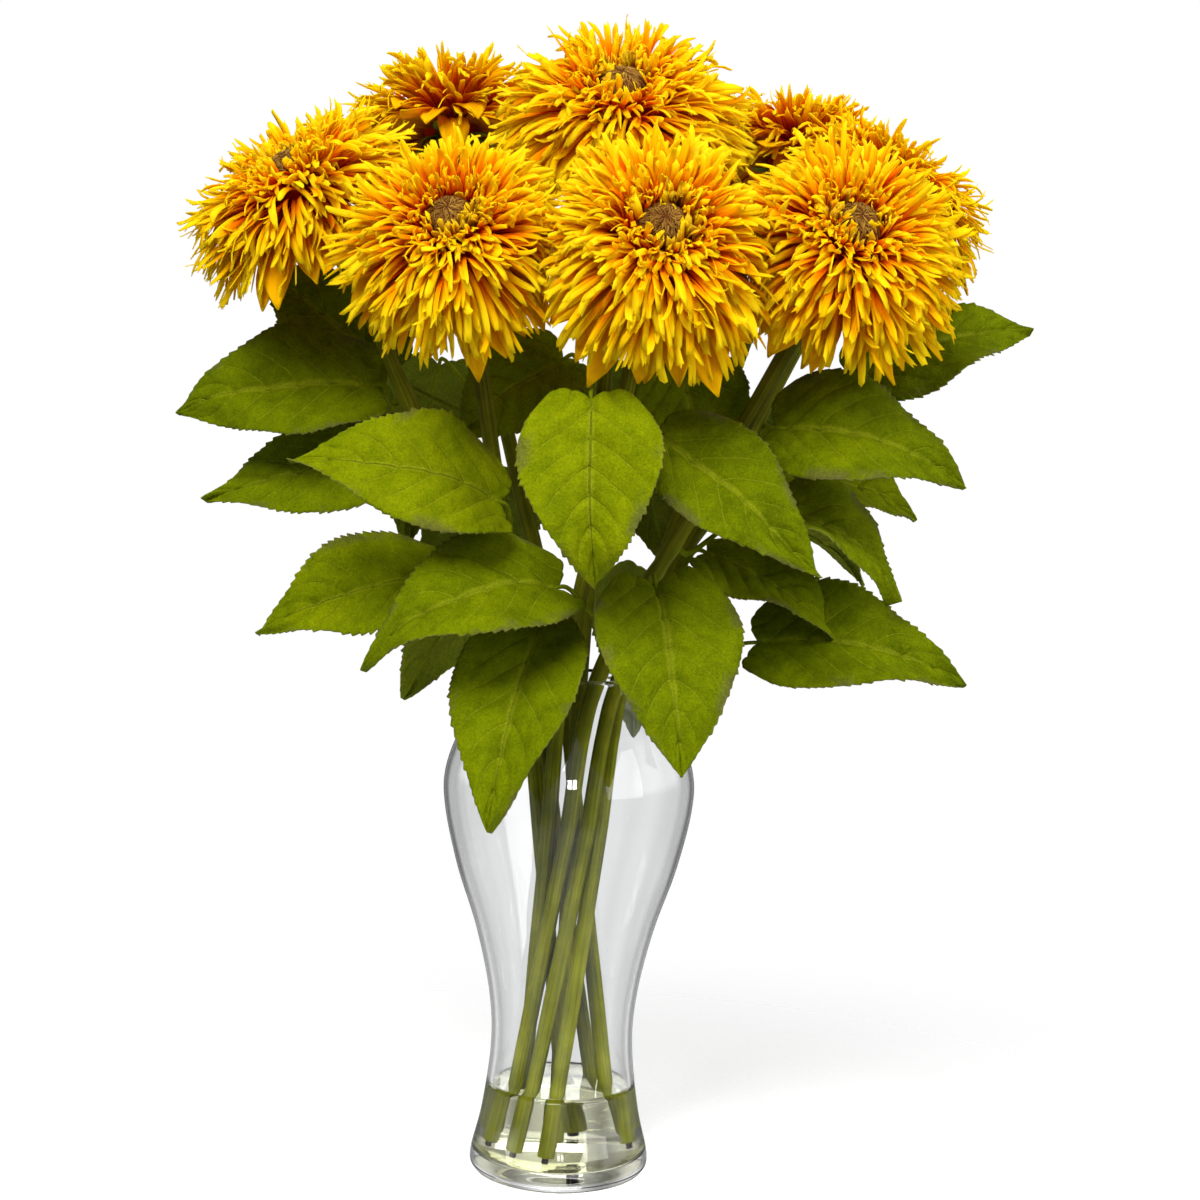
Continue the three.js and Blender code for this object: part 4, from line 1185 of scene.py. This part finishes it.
def add_floor():
    """A pale round floor that fades into the background."""
    sides = 96
    radii = [0.1, 0.25, 0.45, 0.7, 1.0, 1.4, 1.8]
    points = [(r * math.cos(a), r * math.sin(a), FLOOR_LEVEL) for r in radii for a in around(sides)]
    points.append((0.0, 0.0, FLOOR_LEVEL))
    faces = ring_faces(len(radii), sides) + [f[::-1] for f in fan(len(points) - 1, sides)]
    mesh = bpy.data.meshes.new("floor")
    mesh.from_pydata(points, [], faces)
    s = new_material("pale_floor")
    length = s.node("VectorMath", {0: s.position()}, operation="LENGTH")
    far = s.smooth(length.outputs["Value"], *FLOOR_FADE)
    in_glass = s.times(s.node("LightPath").outputs["Is Singular Ray"], FLOOR_FAINT)
    colour = s.ramp(s.noise(300.0, 2.0), [(0.2, (0.86, 0.86, 0.855)), (0.8, (0.9, 0.9, 0.895))])
    pale = s.principled(colour, 0.7, Specular_IOR_Level=0.1)
    clear = s.node("BsdfTransparent").outputs[0]
    mesh.materials.append(s.finish(s.join(s.math("MAXIMUM", far, in_glass), pale, clear)))
    floor = add_object("floor", mesh)


AMBIENT, WHITE = (0.2328, 0.2364, 0.24), (1, 1, 1)
GLASS_BRIGHT, GLASS_DARK, PANELS = 0.87, 0.24, 8  # the surroundings seen through glass, in upright panels
MIRROR_LOSS = 0.93  # how much of them is left out where the glass mirrors them
WINDOW, SIDE_BOXES = 30.0, 2.4  # brightness of the lights that the glass mirrors
WINDOW_AT = (0.06, 0.27)  # across and up, of a direction of length 1


def add_world():
    """White behind the object, dim where it only lights it, and with panels and soft boxes in glass."""
    s = Nodes(bpy.data.worlds.new("studio"), "OutputWorld")
    path = s.node("LightPath")
    x, y, z = s.node("SeparateXYZ", {0: s.node("TexCoord").outputs["Generated"]}).outputs
    panel = s.math("ABSOLUTE", s.math("SINE", s.times(s.math("ARCTAN2", x, y), PANELS / 2)))
    seen = s.minus(GLASS_BRIGHT, s.times(s.math("POWER", panel, 3.0), GLASS_BRIGHT - GLASS_DARK))
    # a window of two panes in front, a little to the right and up, and a tall soft box on either side
    across, up = (s.math("ABSOLUTE", s.minus(value, at)) for value, at in zip((x, z), WINDOW_AT))
    pane = s.times(s.smooth(across, 0.075, 0.065), s.smooth(across, 0.006, 0.012))
    window = s.times(s.times(pane, s.smooth(up, 0.085, 0.07)), s.smooth(y, 0.0, -0.2))
    boxes = s.times(s.smooth(s.math("ABSOLUTE", x), 0.80, 0.93), s.smooth(z, -0.05, 0.1))
    mirrored = path.outputs["Is Reflection Ray"]
    seen = s.times(seen, s.minus(1.0, s.times(mirrored, MIRROR_LOSS)))
    lamps = s.plus(s.times(window, WINDOW), s.times(s.times(boxes, mirrored), SIDE_BOXES))
    in_glass = s.background(WHITE, s.plus(seen, lamps))
    shader = s.join(path.outputs["Is Singular Ray"], s.background(AMBIENT), in_glass)
    shader = s.join(path.outputs["Is Camera Ray"], shader, s.background(WHITE))
    bpy.context.scene.world = s.finish(shader)


bpy.context.scene.view_settings.view_transform = "Standard"
add_camera()
add_vase()
add_water()
for i in range(len(HEADS)):
    add_stem(i)
    add_bloom(i)
for number, leaf in enumerate(LEAVES, 1):
    add_leaf(number, leaf)
add_floor()
add_world()
for name, light in LIGHTS.items():
    add_light(name, *light)
